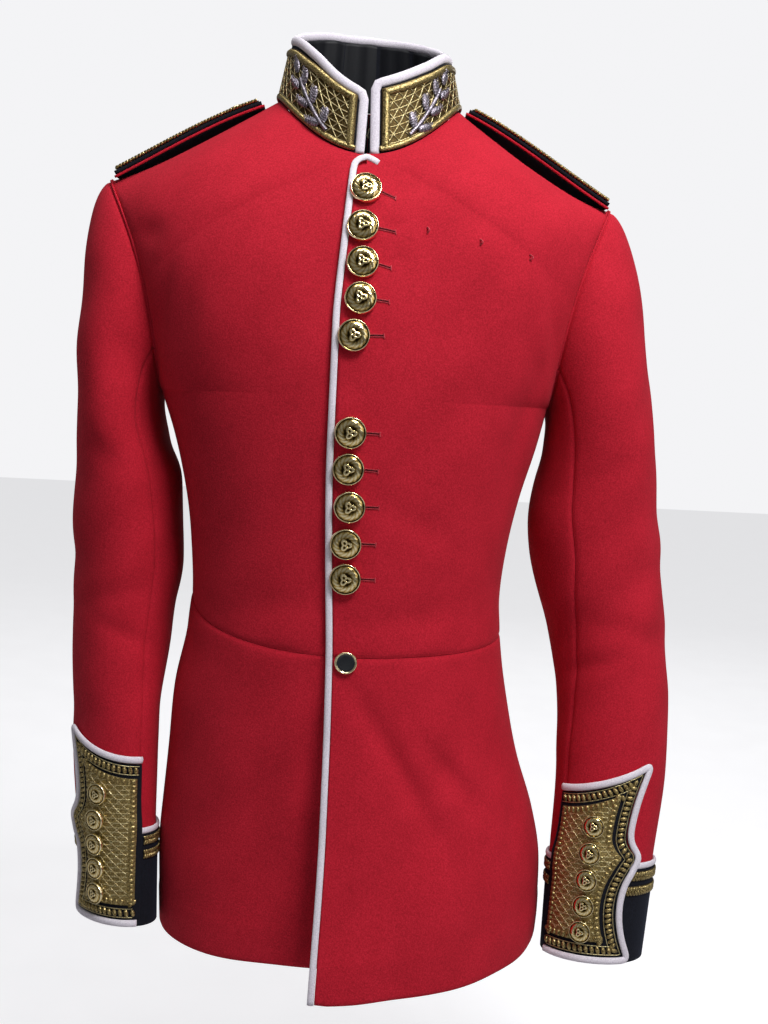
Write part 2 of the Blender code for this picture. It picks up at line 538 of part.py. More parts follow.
# ---- White piping on the left front's edge, from the collar to the hem ----
CORNER = PIPING[0] + LAY  # radius of the piping's line round the front edge's top corner
PIPING_START = 0.0015  # the piping's top end, past the centre line


def front_edge_line():
    """Places on the left front: past the centre line, height."""
    top = centre_height(FRONT_TOP_LEVEL) + PIPING[0] + 4 * LAY
    reach = float(through(FRONT_EDGE, 1, top))
    line = [(PIPING_START, top), (reach - CORNER, top)]
    line += [(reach - CORNER + CORNER * math.sin(t), top - CORNER + CORNER * math.cos(t))
             for t in (math.pi / 6, math.pi / 3, math.pi / 2)]
    levels = [l for l in PANEL_LEVELS[::-1] if 0.01 < l < FRONT_TOP_LEVEL - 0.1]
    line += [(float(through(FRONT_EDGE, 1, centre_height(l))), centre_height(l)) for l in levels]
    heights = [skirt_height(1, l) for l in SKIRT_LEVELS[::-1]]
    line += [(float(through(FRONT_EDGE, 1, z)), z) for z in heights]
    return line


def on_front(side, past, z, distance):
    """A point of a front, by distance past the centre line and height, moved out from its outer face."""
    if z > WAIST_FRONT_Z:
        surface = surface_of(panel, side, False)
        low = z < ARMPIT_Z
        level = (z - WAIST_FRONT_Z) / (ARMPIT_Z - WAIST_FRONT_Z) if low else 1 + (z - ARMPIT_Z) / (PIT_Z - ARMPIT_Z)
    else:
        surface = surface_of(skirt, side, False)
        level = (z - FRONT_HEMS[side]) / (WAIST_FRONT_Z - FRONT_HEMS[side])
    across = np.array([across_at(surface, -past, level)])
    level = np.array([level])
    here, out = (moved_out(surface, across, level, np.array([side * d]))[0] for d in (distance, distance + 0.01))
    return here, (out - here) / 0.01


EDGE_POINTS = [on_front(1, past, z, -CLOTH / 2) for past, z in front_edge_line()]
piping("front_piping", [p for p, _ in EDGE_POINTS], [n for _, n in EDGE_POINTS], PIPING, "white_piping")

# ---- Sleeves in two pieces, joined at the forearm and hind seams ----
BRIM_TURNS = (0.19, 1.5)  # degrees from a sleeve's seam to its piece's edge, and to the end of its last strip
CUFF_ROWS = 4
SLEEVE_ALONG = [np.concatenate(([0.0014, 0.012], np.linspace(0, HEAD_SHARE, 7)[1:],
                                np.linspace(HEAD_SHARE, along_at(side, CUFF_HEIGHT), 8)[1:],
                                along_at(side, np.linspace(CUFF_HEIGHT, 0, CUFF_ROWS))[1:]))
                for side in (-1, 1)]


def turns_between(first, last, steps):
    """Degrees round a sleeve from one seam to the next, with a narrow strip beside each."""
    edge, strip = BRIM_TURNS
    return np.concatenate(([first + edge], np.linspace(first + strip, last - strip, steps), [last - edge]))


SLEEVE_PIECES = (("top", turns_between(FOREARM_SEAM, HIND_SEAM, 11)),
                 ("under", turns_between(HIND_SEAM, FOREARM_SEAM + 360, 8)))
CUFF_TURNS = np.concatenate([turns for _, turns in SLEEVE_PIECES])
for side, along in zip((-1, 1), SLEEVE_ALONG):
    for piece, turns in SLEEVE_PIECES:
        points = sleeve(side, turns[None, :], along[:, None])
        sheet(f"{piece}_sleeve_{SIDE_NAMES[side]}", points, "scarlet_melton", flip=side > 0)

# ---- Round cuffs over the sleeve ends, with piping on the top edge and gold lace below it ----
CUFF_OUT = LAY + CLOTH  # a cuff's outer face above the sleeve's
LACE = 0.0010
LACE_BARS = (0.0570, 0.0768)  # the lace's lower and upper edge above the sleeve's end


def round_sleeve(side, turns, along, distance):
    """Points round a forearm, moved out from the sleeve."""
    turns, along = np.broadcast_arrays(turns, along)
    distances = np.full(turns.shape, -side * distance)
    return moved_out(lambda a, b: sleeve(side, a * 100, b), turns / 100, along, distances)


def line_on_sleeve(side, turns, along, distance):
    """A line round a forearm and its normals, for a piping."""
    here, out = (round_sleeve(side, turns, along, d) for d in (distance, distance + 0.01))
    return here, (out - here) / 0.01


for side, along in zip((-1, 1), SLEEVE_ALONG):
    points = round_sleeve(side, CUFF_TURNS[None, :], along[-CUFF_ROWS:, None], CUFF_OUT)
    sheet(f"cuff_{SIDE_NAMES[side]}", points, "navy_facing", flip=side > 0, closed=True)
    top = np.array([along_at(side, CUFF_HEIGHT + PIPING[0] + LAY)])
    line = line_on_sleeve(side, CUFF_TURNS, top, PIPING[1] + LAY)
    piping(f"cuff_piping_{SIDE_NAMES[side]}", *line, PIPING, "white_piping", closed=True)

# ---- Cuff flaps: slashed, piped on all but the seam edge, embroidered in gold, five buttons each ----
FACET = 0.0006  # extra clearance of a piece that crosses the corners of the sleeve below it
EMBROIDERY = 0.0011
EMBROIDERY_INSET = 0.0095


def flap_width(height):
    """Width of a flap at a height: a hollow between each two points, flat at its middle."""
    points, hollows = np.array(FLAP_POINTS), np.array(FLAP_HOLLOWS)
    k = int(np.clip(np.searchsorted(points[:, 0], height) - 1, 0, len(hollows) - 1))
    low = hollows[k]
    point = points[k] if height < low[0] else points[k + 1]
    return low[1] + (point[1] - low[1]) * ((height - low[0]) / (point[0] - low[0])) ** 2


def flap_layer(height):
    """Height of a flap's inner face above the sleeve: over the cuff, over its piping, then on the sleeve."""
    over_cuff, over_piping = CUFF_OUT + LAY + FACET, 2 * PIPING[1] + 2 * LAY + FACET
    return (over_cuff + (over_piping - over_cuff) * (ease(height, 0.066, 0.076) - ease(height, 0.086, 0.098))
            + (LAY + FACET - over_cuff) * ease(height, 0.086, 0.112))


FLAP_ACROSS = np.linspace(0, 1, 9)  # shares of the width
FLAP_UP = np.linspace(0, 1, 11)


def flap_grid(side, shares_across, inset):
    """Reach and height of each point of a flap's layer, from the bottom row up."""
    bottom = FLAP_POINTS[0][0] + inset
    top = FLAP_POINTS[-1][0] - 1.5 * inset
    first = max(inset - 2 * PIPING[0], 0.0)
    shares = np.asarray(shares_across)
    reach, height = [], []
    for up in FLAP_UP:
        seam_height = bottom + (FLAP_SEAM_HEIGHT - inset - bottom) * up
        edge_height = bottom + (top - bottom) * up
        width = flap_width(edge_height) - inset
        reach.append(first + (width - first) * shares)
        height.append(seam_height + (edge_height - seam_height) * shares ** 1.8)
    return np.array(reach), np.array(height)


def outline(grid):
    """The free edge of a flap's layer: its top, its scalloped side and its bottom."""
    return np.concatenate((grid[-1, :-1], grid[::-1, -1], grid[0, -2::-1]))


def beyond(line, distance):
    """A flat line moved to its left by a distance, its corners kept sharp."""
    steps = np.diff(line, axis=0)
    beside = np.stack((-steps[:, 1], steps[:, 0]), axis=1) / np.linalg.norm(steps, axis=1, keepdims=True)
    before, after = np.concatenate((beside[:1], beside)), np.concatenate((beside, beside[-1:]))
    return line + distance * (before + after) / (1 + np.sum(before * after, axis=1, keepdims=True))


for side in (-1, 1):
    name = SIDE_NAMES[side]
    reach, height = flap_grid(side, FLAP_ACROSS, 2 * PIPING[0] + 2 * LAY)
    flap = on_sleeve(side, reach, height, flap_layer(height) + CLOTH)
    sheet(f"cuff_flap_{name}", flap, "navy_facing", flip=side < 0)

    line = beyond(np.stack((outline(reach), outline(height)), axis=1), PIPING[0] + 3 * LAY)
    line[:, 0] = np.maximum(line[:, 0], 0.0)
    here, out = (on_sleeve(side, line[:, 0], line[:, 1], flap_layer(line[:, 1]) + PIPING[1] - LAY + d)
                 for d in (0.0, 0.01))
    piping(f"flap_piping_{name}", here, out - here, PIPING, "white_piping")

    reach, height = flap_grid(side, FLAP_ACROSS, EMBROIDERY_INSET)
    top = CLOTH + EMBROIDERY + FACET + 2 * LAY
    slab = on_sleeve(side, reach, height, flap_layer(height) + top)
    sheet(f"flap_embroidery_{name}", slab, "gold_lace", wall=EMBROIDERY, flip=side < 0)

    for number, height in enumerate(FLAP_BUTTONS, 1):
        def on_flap(dx, dz, distance):
            z = height + dz
            return on_sleeve(side, [FLAP_BUTTON_REACH + dx], [z], [flap_layer(z) + top + distance])[0]

        button(f"cuff_button_{name}_{number}", *seat(on_flap, SMALL_BUTTON[0]), *SMALL_BUTTON, steps=8)

    lace_heights = np.linspace(LACE_BARS[0], LACE_BARS[1], 3)
    first = turn_at(side, [flap_width(LACE_BARS[1]) + 4 * LAY], [LACE_BARS[1]])[0]
    inner = [t for t in CUFF_TURNS if first + 4 < t < FOREARM_SEAM + 353]
    lace_turns = np.array([first] + inner + [FOREARM_SEAM + 355])
    lace = round_sleeve(side, lace_turns[None, :], along_at(side, lace_heights)[:, None], CUFF_OUT + 2 * LAY + LACE)
    sheet(f"cuff_lace_{name}", lace, "gold_lace", wall=LACE, flip=side < 0)

# ---- Standing collar: navy, lined, white edging on its top and front edges, gold embroidery on its fronts ----
EMBROIDERY_END_TURN = 96.0
COLLAR_FOOT, EDGING_FOOT = 0.020, 0.075  # shares of the height at which the collar and its edging start
COLLAR_SHARES = np.linspace(0, 1, 3)


def collar(turn, up):
    """The collar's outer face: degrees from the front round the wearer's left, and up from 0 to 1."""
    turn, up = np.broadcast_arrays(np.asarray(turn, dtype=float), np.asarray(up, dtype=float))
    turn = (turn + 180) % 360 - 180
    c, s = np.cos(np.radians(turn)), np.sin(np.radians(np.abs(turn)))
    base = neckline(np.abs(turn))
    depth = np.where(c > 0, -COLLAR_TOP_FRONT * c, -COLLAR_TOP_BACK * c)
    rise = np.where(turn < 0, through(COLLAR_TOPS[-1], 1, np.abs(turn)), through(COLLAR_TOPS[1], 1, np.abs(turn)))
    top = vector(COLLAR_TOP_SIDE * s, depth, rise)
    points = base + (top - base) * up[..., None]
    points[..., 0] *= np.sign(turn)
    return points


def on_collar(turns, ups, distance):
    """Points on the collar, moved out from its outer face."""
    turns, ups = np.broadcast_arrays(turns, ups)
    return moved_out(lambda a, b: collar(a * 100, b), turns / 100, ups, distance * np.ones(turns.shape))


def front_turn(up, inset):
    """Degrees from the front of a line that runs up the collar at an inset from its front edge."""
    gap = COLLAR_GAPS[0] + (COLLAR_GAPS[1] - COLLAR_GAPS[0]) * up
    return np.degrees(np.arcsin((gap / 2 + inset) / (NECK_SIDE + (COLLAR_TOP_SIDE - NECK_SIDE) * up)))


def top_up(turn, inset):
    """Share of the collar's height at an inset from its top edge."""
    up = collar(turn, 1.0) - collar(turn, 0.0)
    height = np.linalg.norm(up, axis=-1)
    along = collar(turn + 1.0, 1.0) - collar(turn - 1.0, 1.0)
    turned = np.cross(up / height[..., None], along / np.linalg.norm(along, axis=-1, keepdims=True))
    return 1 - inset / height / np.linalg.norm(turned, axis=-1)


def collar_grid(inset, foot=COLLAR_FOOT, end=None):
    """Turns and shares of the height of a layer that keeps an inset from the collar's front and top edges."""
    start = front_turn(COLLAR_SHARES, inset)[:, None]
    half = start + (90 - start) * np.linspace(0, 1, 8)
    if end is None:
        behind = np.ones(start.shape) * np.linspace(90, 270, 13)[1:-1]
        turns = np.concatenate((half, behind, 360 - half[:, ::-1]), axis=1)
    else:
        turns = np.concatenate((half, np.full(start.shape, end)), axis=1)
    ups = foot + (top_up(turns, inset) - foot) * COLLAR_SHARES[:, None]
    return turns, ups


inset = 2 * EDGING[0] + 2 * LAY
sheet("collar", on_collar(*collar_grid(inset), 0.0), "navy_facing")
lining = on_collar(*collar_grid(inset), -CLOTH - LAY)
sheet("collar_lining", lining, "navy_facing", wall=COLLAR_LINING)

corner = float(front_turn(1.0, 1.3 * EDGING[0]))
left_ups, right_ups = (np.linspace(EDGING_FOOT, float(top_up(turn, 1.8 * EDGING[0])), 4)
                       for turn in (corner, 360 - corner))
over = np.concatenate(([corner], collar_grid(inset)[0][-1], [360 - corner]))
edging_turns = np.concatenate((front_turn(left_ups, EDGING[0]), over, 360 - front_turn(right_ups, EDGING[0])[::-1]))
edging_ups = np.concatenate((left_ups, top_up(over, EDGING[0]), right_ups[::-1]))
here, out = (on_collar(edging_turns, edging_ups, d) for d in (-CLOTH / 2, 0.01))
piping("collar_edging", here, out - here, EDGING, "white_piping")

for side in (-1, 1):
    turns, ups = collar_grid(inset + 2 * LAY, foot=0.05, end=EMBROIDERY_END_TURN)
    slab = on_collar(turns if side > 0 else 360 - turns, ups, LAY + EMBROIDERY)
    sheet(f"collar_embroidery_{SIDE_NAMES[side]}", slab, "gold_lace", wall=EMBROIDERY, flip=side < 0)

# ---- Shoulder straps: a stiff board with a scarlet underlay, gold lace round it and a small button ----
STRAP_LACE_WIDTH = 0.0095
STRAP_LAYERS = (("strap_underlay", "scarlet_melton", 0.0015, 0.0012), ("shoulder_strap", "navy_facing", 0.0020, 0.0),
                ("strap_lace", "gold_lace", 0.0010, -0.0015))
STRAP_BUTTON_INSET = 0.0215  # from the strap's inner end
SHOULDER_SEAMS = {side: np.abs(panel(side, False, np.linspace(0, 1, 81), 2.999)) * (1, 1, -1) for side in (-1, 1)}


def strap_point(side, x, share, above, spare=0.0):
    """A point on a strap: share of the half width forward or behind, above the strap's underside."""
    outer_x, inner_x = STRAP_ENDS[side]
    run = (outer_x - x) / (outer_x - inner_x)
    width = STRAP_HALF_WIDTHS[0] + (STRAP_HALF_WIDTHS[1] - STRAP_HALF_WIDTHS[0]) * run + spare
    seam_x, seam_z = SHOULDER_SEAMS[side][:, 0], SHOULDER_SEAMS[side][:, 2]
    arch = 4 * (outer_x - seam_x) * (seam_x - inner_x) / (outer_x - inner_x) ** 2
    seam_z = seam_z + STRAP_END_RISE + STRAP_ARCHES[side] * arch
    slope = (np.interp(outer_x, seam_x, seam_z) - np.interp(inner_x, seam_x, seam_z)) / (outer_x - inner_x)
    before, behind = STRAP_FLATTENED
    drop = STRAP_DROP * (1 - np.clip(run, 0, 1) * np.where(np.asarray(share) > 0, behind, before))
    out = (above - drop * (share * width / (width - spare)) ** 2) / np.sqrt(1 + slope ** 2)
    return vector(side * (x - slope * out), width * share, np.interp(x, seam_x, seam_z) + out)


for side in (-1, 1):
    above = 0.0
    for piece, material, wall, spare in STRAP_LAYERS:
        above += wall
        inner = 1 - STRAP_LACE_WIDTH / STRAP_HALF_WIDTHS[1]
        shares = np.array([-1.0, -inner, 0.0, inner, 1.0])
        ends = STRAP_ENDS[side][0] + spare, STRAP_ENDS[side][1] - spare
        xs = np.append(np.linspace(ends[0], ends[1] + STRAP_LACE_WIDTH, 8), ends[1])
        points = strap_point(side, xs[:, None], shares[None, :], above, spare)
        hole = (lambda i, j: i < 7 and j in (1, 2)) if piece == "strap_lace" else None
        sheet(f"{piece}_{SIDE_NAMES[side]}", points, material, wall=wall, flip=side < 0, drop=hole)
        above += LAY

    def on_strap(dx, dz, distance):
        share = dz / STRAP_HALF_WIDTHS[1]
        board = STRAP_LAYERS[0][2] + LAY + STRAP_LAYERS[1][2]
        return strap_point(side, STRAP_ENDS[side][1] + STRAP_BUTTON_INSET + dx, share, board + distance)

    button(f"strap_button_{SIDE_NAMES[side]}", *seat(on_strap, SMALL_BUTTON[0]), *SMALL_BUTTON, steps=8)

# ---- Front buttons: ten domed gilt ones in two fives, and a plain one on the waist seam ----
for number, (x, z) in enumerate(FRONT_BUTTONS, 1):
    def round_button(dx, dz, distance):
        return on_front(1, dx - x, z + dz, distance)[0]

    button(f"front_button_{number}", *seat(round_button, LARGE_BUTTON[0]), *LARGE_BUTTON, steps=12)


def round_waist_button(dx, dz, distance):
    return on_front(1, dx - WAIST_BUTTON[0], WAIST_BUTTON[1] + dz, distance)[0]


button("waist_button", *seat(round_waist_button, PLAIN_BUTTON[0]), *PLAIN_BUTTON, domed=False, steps=12)
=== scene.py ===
"""A scarlet dress tunic in its finished cloth, wire and metal, filled out as on a wearer.

Metres, +Z up; the front faces -Y and the wearer's left is +X. The origin is the middle of the neck.
"""
import math

import bmesh
import bpy
import numpy as np
from mathutils import Matrix, Vector


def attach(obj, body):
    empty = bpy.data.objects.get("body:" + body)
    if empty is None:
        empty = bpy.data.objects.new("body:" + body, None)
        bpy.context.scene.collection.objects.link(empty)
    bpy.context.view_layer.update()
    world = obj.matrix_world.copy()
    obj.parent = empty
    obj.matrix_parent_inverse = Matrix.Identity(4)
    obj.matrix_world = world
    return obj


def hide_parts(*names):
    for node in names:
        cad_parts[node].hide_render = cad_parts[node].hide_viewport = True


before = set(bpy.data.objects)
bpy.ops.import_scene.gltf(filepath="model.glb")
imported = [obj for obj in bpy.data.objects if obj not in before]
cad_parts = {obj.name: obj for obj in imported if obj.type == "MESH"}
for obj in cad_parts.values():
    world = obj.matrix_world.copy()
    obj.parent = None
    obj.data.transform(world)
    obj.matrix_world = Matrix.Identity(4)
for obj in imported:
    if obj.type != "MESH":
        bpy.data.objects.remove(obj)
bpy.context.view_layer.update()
SIDE_NAMES = {-1: "right", 1: "left"}  # the wearer's

# ==== Foreparts and backs ====
# Four panels of scarlet melton, a thick milled wool, sewn at the shoulders, the sides and down the middle of the
# back. The left forepart laps over the right one, and their insides are faced with dark sateen.
CLOTH = 0.0018  # thickness of the melton, and of the navy cloth with its stiffening
SEAM = 0.00002  # half the gap between two panels at a seam
NECK_SIDE, NECK_FRONT, NECK_BACK = 0.078, 0.085, 0.065  # reach of the neckline from its middle
PIT_Z, NAPE_Z = -0.056, 0.012  # its height in front and behind
TIPS = {-1: (0.2185, -0.0735), 1: (0.2130, -0.0765)}  # shoulder tips: out from the centre, height
SHOULDER_HOLLOWS = {-1: 0.0125, 1: 0.0173}  # how far each shoulder line is drawn down on its way to the tip
ARMPIT_X, ARMPIT_Z = 0.169, -0.250
ARMHOLE_FRONT, ARMHOLE_BACK = 0.060, 0.066  # its reach before and behind its middle
SIDE_Y = 0.003  # depth of the side seams
WAIST_FRONT_Z, WAIST_BACK_Z = -0.458, -0.440
WAIST_SIDES = {-1: -0.425, 1: -0.451}  # waist seam at the right and left side seams
LATE_CLIMB = 0.20  # the waist seam keeps level and climbs beside the side seam: more of this, and later
UNDERLAP = 0.016  # how far the right front passes the centre line
LIFT = 0.0031  # the left front lies this far above the right one where they overlap
LIFT_ENDS = (0.020, 0.060)  # the lift fades between these distances from the centre line
PIPING = (0.0027, 0.0015)  # half width and half thickness
LAY = 0.0003  # a piece lies this far off the one under it
CLOTH_PITCH = 0.0032  # spacing of a cloth mesh's points

# Centre front and back lines from the waist to the neck: height, distance before or behind the middle
CENTRE_FRONT = ((-0.458, 0.112), (-0.400, 0.114), (-0.330, 0.119), (-0.250, 0.125), (-0.180, 0.122),
                (-0.120, 0.111), (-0.080, 0.097), (PIT_Z, NECK_FRONT))
CENTRE_BACK = ((-0.440, 0.098), (-0.350, 0.106), (-0.250, 0.121), (-0.150, 0.122), (-0.080, 0.108),
               (-0.030, 0.087), (NAPE_Z, NECK_BACK))
# Sides from the waist to the armpit: height, half width on the wearer's right, and left
SIDES = ((-0.458, 0.1400, 0.1400), (-0.442, 0.1385, 0.1385), (-0.420, 0.1363, 0.137), (-0.375, 0.139, 0.1405),
         (-0.330, 0.1455, 0.149), (-0.285, 0.157, 0.161), (ARMPIT_Z, ARMPIT_X, ARMPIT_X))
# Rows across a panel: level (0 waist, 1 armpit, 2 foot of the neckline, 3 shoulder seam), reach of the curve's
# handle at the centre line as a share of the width, its swell, and the same two at the side or armhole
FRONT_ROWS = ((0.0, 0.60, 0.000, 0.00, 0.070), (1.0, 0.60, 0.000, 0.00, 0.078), (1.5, 0.55, 0.002, 0.10, 0.077),
              (2.0, 0.42, 0.014, 0.25, 0.066), (2.5, 0.36, 0.012, 0.31, 0.038), (3.0, 0.33, 0.000, 0.33, 0.000))
BACK_ROWS = ((0.0, 0.60, 0.000, 0.00, 0.060), (1.0, 0.62, 0.000, 0.00, 0.076), (1.5, 0.60, 0.004, 0.10, 0.070),
             (2.0, 0.42, 0.022, 0.25, 0.054), (2.5, 0.36, 0.014, 0.31, 0.032), (3.0, 0.33, 0.000, 0.33, 0.000))
# Folds of the right (-1) and left (1) fronts and backs: out from the centre, height, half length, half width,
# degrees that the top leans inward, depth (below 0 for a ridge), share of the width over which it fades at a seam
FOLDS = {
    (-1, False): (
        (0.146, -0.205, 0.036, 0.014, 14, 0.0040, 0.25), (0.060, -0.600, 0.080, 0.026, -6, 0.0035, 0.25),
        (0.022, -0.560, 0.090, 0.011, 0, 0.0030, 0.03), (0.110, -0.520, 0.040, 0.013, 30, 0.0022, 0.05),
        (0.160, -0.190, 0.036, 0.007, 10, 0.0035, 0.03), (0.172, -0.124, 0.010, 0.012, 0, 0.0028, 0.02),
        (0.060, -0.420, 0.014, 0.044, -8, 0.0016, 0.05)),
    (1, False): (
        (0.118, -0.535, 0.055, 0.017, 18, 0.0050, 0.25), (0.078, -0.610, 0.045, 0.018, -52, 0.0035, 0.25),
        (0.090, -0.665, 0.050, 0.024, 10, -0.0040, 0.25), (0.146, -0.215, 0.040, 0.014, 20, 0.0040, 0.25),
        (0.049, -0.548, 0.068, 0.010, 31, 0.0050, 0.05), (0.096, -0.560, 0.036, 0.010, 40, 0.0050, 0.05),
        (0.122, -0.576, 0.040, 0.010, 24, -0.0022, 0.05), (0.150, -0.585, 0.060, 0.007, 4, 0.0025, 0.03),
        (0.159, -0.190, 0.034, 0.007, 8, 0.0035, 0.03), (0.137, -0.266, 0.040, 0.010, -14, 0.0055, 0.05),
        (0.034, -0.076, 0.016, 0.011, -40, 0.0030, 0.05), (0.026, -0.088, 0.010, 0.004, -62, 0.0012, 0.05),
        (0.026, -0.114, 0.010, 0.004, -66, 0.0010, 0.05), (0.026, -0.142, 0.010, 0.004, -66, 0.0010, 0.05),
        (0.060, -0.350, 0.050, 0.012, 62, 0.0016, 0.05), (0.050, -0.425, 0.012, 0.042, 6, 0.0018, 0.05)),
    (-1, True): (
        (0.070, -0.600, 0.075, 0.024, 8, 0.0045, 0.25), (0.150, -0.215, 0.040, 0.015, 18, 0.0045, 0.25),
        (0.085, -0.400, 0.028, 0.040, 10, 0.0030, 0.25), (0.050, -0.555, 0.070, 0.011, -18, 0.0030, 0.05),
        (0.158, -0.200, 0.034, 0.008, 10, 0.0035, 0.03), (0.050, -0.405, 0.010, 0.040, 0, 0.0022, 0.05)),
    (1, True): (
        (0.060, -0.590, 0.080, 0.026, -5, 0.0045, 0.25), (0.150, -0.220, 0.040, 0.015, 22, 0.0045, 0.25),
        (0.080, -0.405, 0.026, 0.042, -8, 0.0030, 0.25), (0.105, -0.560, 0.060, 0.012, 16, 0.0035, 0.05),
        (0.158, -0.200, 0.034, 0.008, 12, 0.0035, 0.03), (0.050, -0.380, 0.010, 0.042, 4, 0.0022, 0.05)),
}
# Front edge of the left side: height, distance past the centre line
FRONT_EDGE = ((-0.732, 0.0130), (-0.600, 0.0098), (-0.458, 0.0113), (-0.373, 0.0154), (-0.290, 0.0178),
              (-0.190, 0.0178), (-0.120, 0.0140), (PIT_Z, 0.0095))
FRONT_TOP_LEVEL = 1.953  # the overlapped strip of a forepart ends here, below the collar
NECK_SETBACKS = (0.0015, 0.0008)  # share of the width by which a front and a back keep off the neckline's corner


def through(table, column, at):
    """Monotone cubic through one column of a table, whose first column is the place along it."""
    table = np.array(sorted(table), dtype=float)
    x, y = table[:, 0], table[:, column]
    at = np.clip(np.asarray(at, dtype=float), x[0], x[-1])
    step = np.diff(x)
    slope = np.diff(y) / step
    tangent = np.concatenate(([slope[0]], (slope[:-1] + slope[1:]) / 2, [slope[-1]]))
    turns = np.concatenate(([False], slope[:-1] * slope[1:] <= 0, [False]))
    tangent[turns] = 0.0
    limit = 3 * np.minimum(np.abs(np.append(slope, slope[-1])), np.abs(np.insert(slope, 0, slope[0])))
    tangent = np.clip(tangent, -limit, limit)
    i = np.clip(np.searchsorted(x, at) - 1, 0, len(step) - 1)
    t = (at - x[i]) / step[i]
    return (y[i] * (1 + 2 * t) * (1 - t) ** 2 + y[i + 1] * t * t * (3 - 2 * t)
            + step[i] * (tangent[i] * t * (1 - t) ** 2 - tangent[i + 1] * t * t * (1 - t)))


def ease(value, start, end):
    """0 before start, 1 after end, with a smooth turn between them."""
    t = np.clip((np.asarray(value, dtype=float) - start) / (end - start), 0.0, 1.0)
    return t * t * (3 - 2 * t)


def matched(*values):
    """Arrays of one shape from values that may be single numbers, rows or grids."""
    return np.broadcast_arrays(*(np.asarray(value, dtype=float) for value in values))


def vector(x, y, z):
    """Points from their coordinates."""
    return np.stack(np.broadcast_arrays(x, y, z), axis=-1).astype(float)


def bezier(p0, p1, p2, p3, t):
    """Points at t, from 0 to 1, of a curve from p0 to p3 with handles p1 and p2."""
    t = np.asarray(t)[..., None]
    return (1 - t) ** 3 * p0 + 3 * t * (1 - t) ** 2 * p1 + 3 * t * t * (1 - t) * p2 + t ** 3 * p3


def moved_out(surface, u, v, distance, step=0.002):
    """Points of a surface moved along its normals, which point to the left of u turning to v seen from outside."""
    u, v = matched(u, v)
    du = surface(u + step, v) - surface(u - step, v)
    dv = surface(u, v + step) - surface(u, v - step)
    normal = np.cross(du, dv)
    normal /= np.maximum(np.linalg.norm(normal, axis=-1, keepdims=True), 1e-12)
    return surface(u, v) + normal * np.asarray(distance)[..., None]


def run_along(points, axis=0):
    """Distance run from the first point, along an axis of a grid of points."""
    steps = np.linalg.norm(np.diff(points, axis=axis), axis=-1)
    start = np.zeros_like(np.take(steps, [0], axis=axis))
    return np.concatenate((start, np.cumsum(steps, axis=axis)), axis=axis)


def neckline(turn):
    """Points of the neckline, by degrees from the front, for the wearer's left."""
    c, s = np.cos(np.radians(turn)), np.sin(np.radians(turn))
    front = c > 0
    return vector(NECK_SIDE * s, np.where(front, -NECK_FRONT * c, -NECK_BACK * c),
                  np.where(front, PIT_Z * c * c, NAPE_Z * c * c))


def armhole(side, turn):
    """Points of a side's armhole, by degrees from the shoulder tip round the front, with x away from the centre."""
    tip_x, tip_z = TIPS[side]
    c, s = np.cos(np.radians(turn)), np.sin(np.radians(turn))
    z = (tip_z + ARMPIT_Z) / 2 + (tip_z - ARMPIT_Z) / 2 * c
    height = (z - ARMPIT_Z) / (tip_z - ARMPIT_Z)
    x = ARMPIT_X + (tip_x - ARMPIT_X) * height ** 2.2
    centre = SIDE_Y * (1 - height)
    return vector(x, np.where(s > 0, centre - ARMHOLE_FRONT * s, centre - ARMHOLE_BACK * s), z)


def panel(side, back, across, level):
    """A forepart's or back's surface: across from the centre line (0) to the side (1), level from the waist (0)
    by the armpit (1) and the neckline's end (2) to the shoulder seam (3)."""
    across, level = matched(across, level)
    sign = 1 if back else -1
    centre, rows = (CENTRE_BACK, BACK_ROWS) if back else (CENTRE_FRONT, FRONT_ROWS)
    bottom, top = centre[0][0], centre[-1][0]
    shared = bottom + (ARMPIT_Z - bottom) * level
    centre_z = np.where(level < 1, shared, ARMPIT_Z + (top - ARMPIT_Z) * (level - 1))
    on_centre = vector(0, sign * through(centre, 1, centre_z), centre_z)
    neck_turn = np.clip(level - 2, 0, 1.2) * 90
    start = np.where((level < 2)[..., None], on_centre, neckline(180 - neck_turn if back else neck_turn))
    side_z = WAIST_SIDES[side] + (ARMPIT_Z - WAIST_SIDES[side]) * level
    on_side = vector(through(SIDES, 1 if side < 0 else 2, side_z), SIDE_Y, side_z)
    arm_turn = (3 - np.maximum(level, 1)) * 90
    end = np.where((level < 1)[..., None], on_side, armhole(side, -arm_turn if back else arm_turn))
    width = end - start
    reach, swell = through(rows, 1, level), through(rows, 2, level)
    back_off, side_swell = through(rows, 3, level), through(rows, 4, level)
    from_waist, hollow = ease(level, 0, 1), SHOULDER_HOLLOWS[side] * ease(level, 2, 3)
    rise = width[..., 2] * from_waist * reach / 1.5
    fall = width[..., 2] * (LATE_CLIMB + 1 / 3 - LATE_CLIMB * from_waist)
    first = start + vector(reach * width[..., 0], sign * swell, rise - hollow)
    second = end + vector(-back_off * width[..., 0], sign * side_swell, -fall - hollow)
    points = bezier(start, first, second, end, np.abs(across))
    points[..., 0] *= np.where(across < 0, -side, side)
    return points


# Slow waves of the cloth over the body: length, direction (x, y, z), phase
WAVES = ((0.083, 0.9, 0.2, 0.4, 0.3), (0.061, -0.5, 0.3, 0.8, 1.9), (0.117, 0.3, -0.2, 0.9, 4.1),
         (0.047, 0.7, 0.5, -0.6, 2.6), (0.072, -0.8, -0.4, 0.5, 5.2))
WAVE_DEPTH = 0.00055  # mean depth of all of them together


def waves(points):
    """Height of the slow waves at each point."""
    total = 0
    for length, *direction, phase in WAVES:
        total = total + np.sin(points @ np.array(direction) * 2 * math.pi / length + phase)
    return WAVE_DEPTH * total / math.sqrt(len(WAVES) / 2)


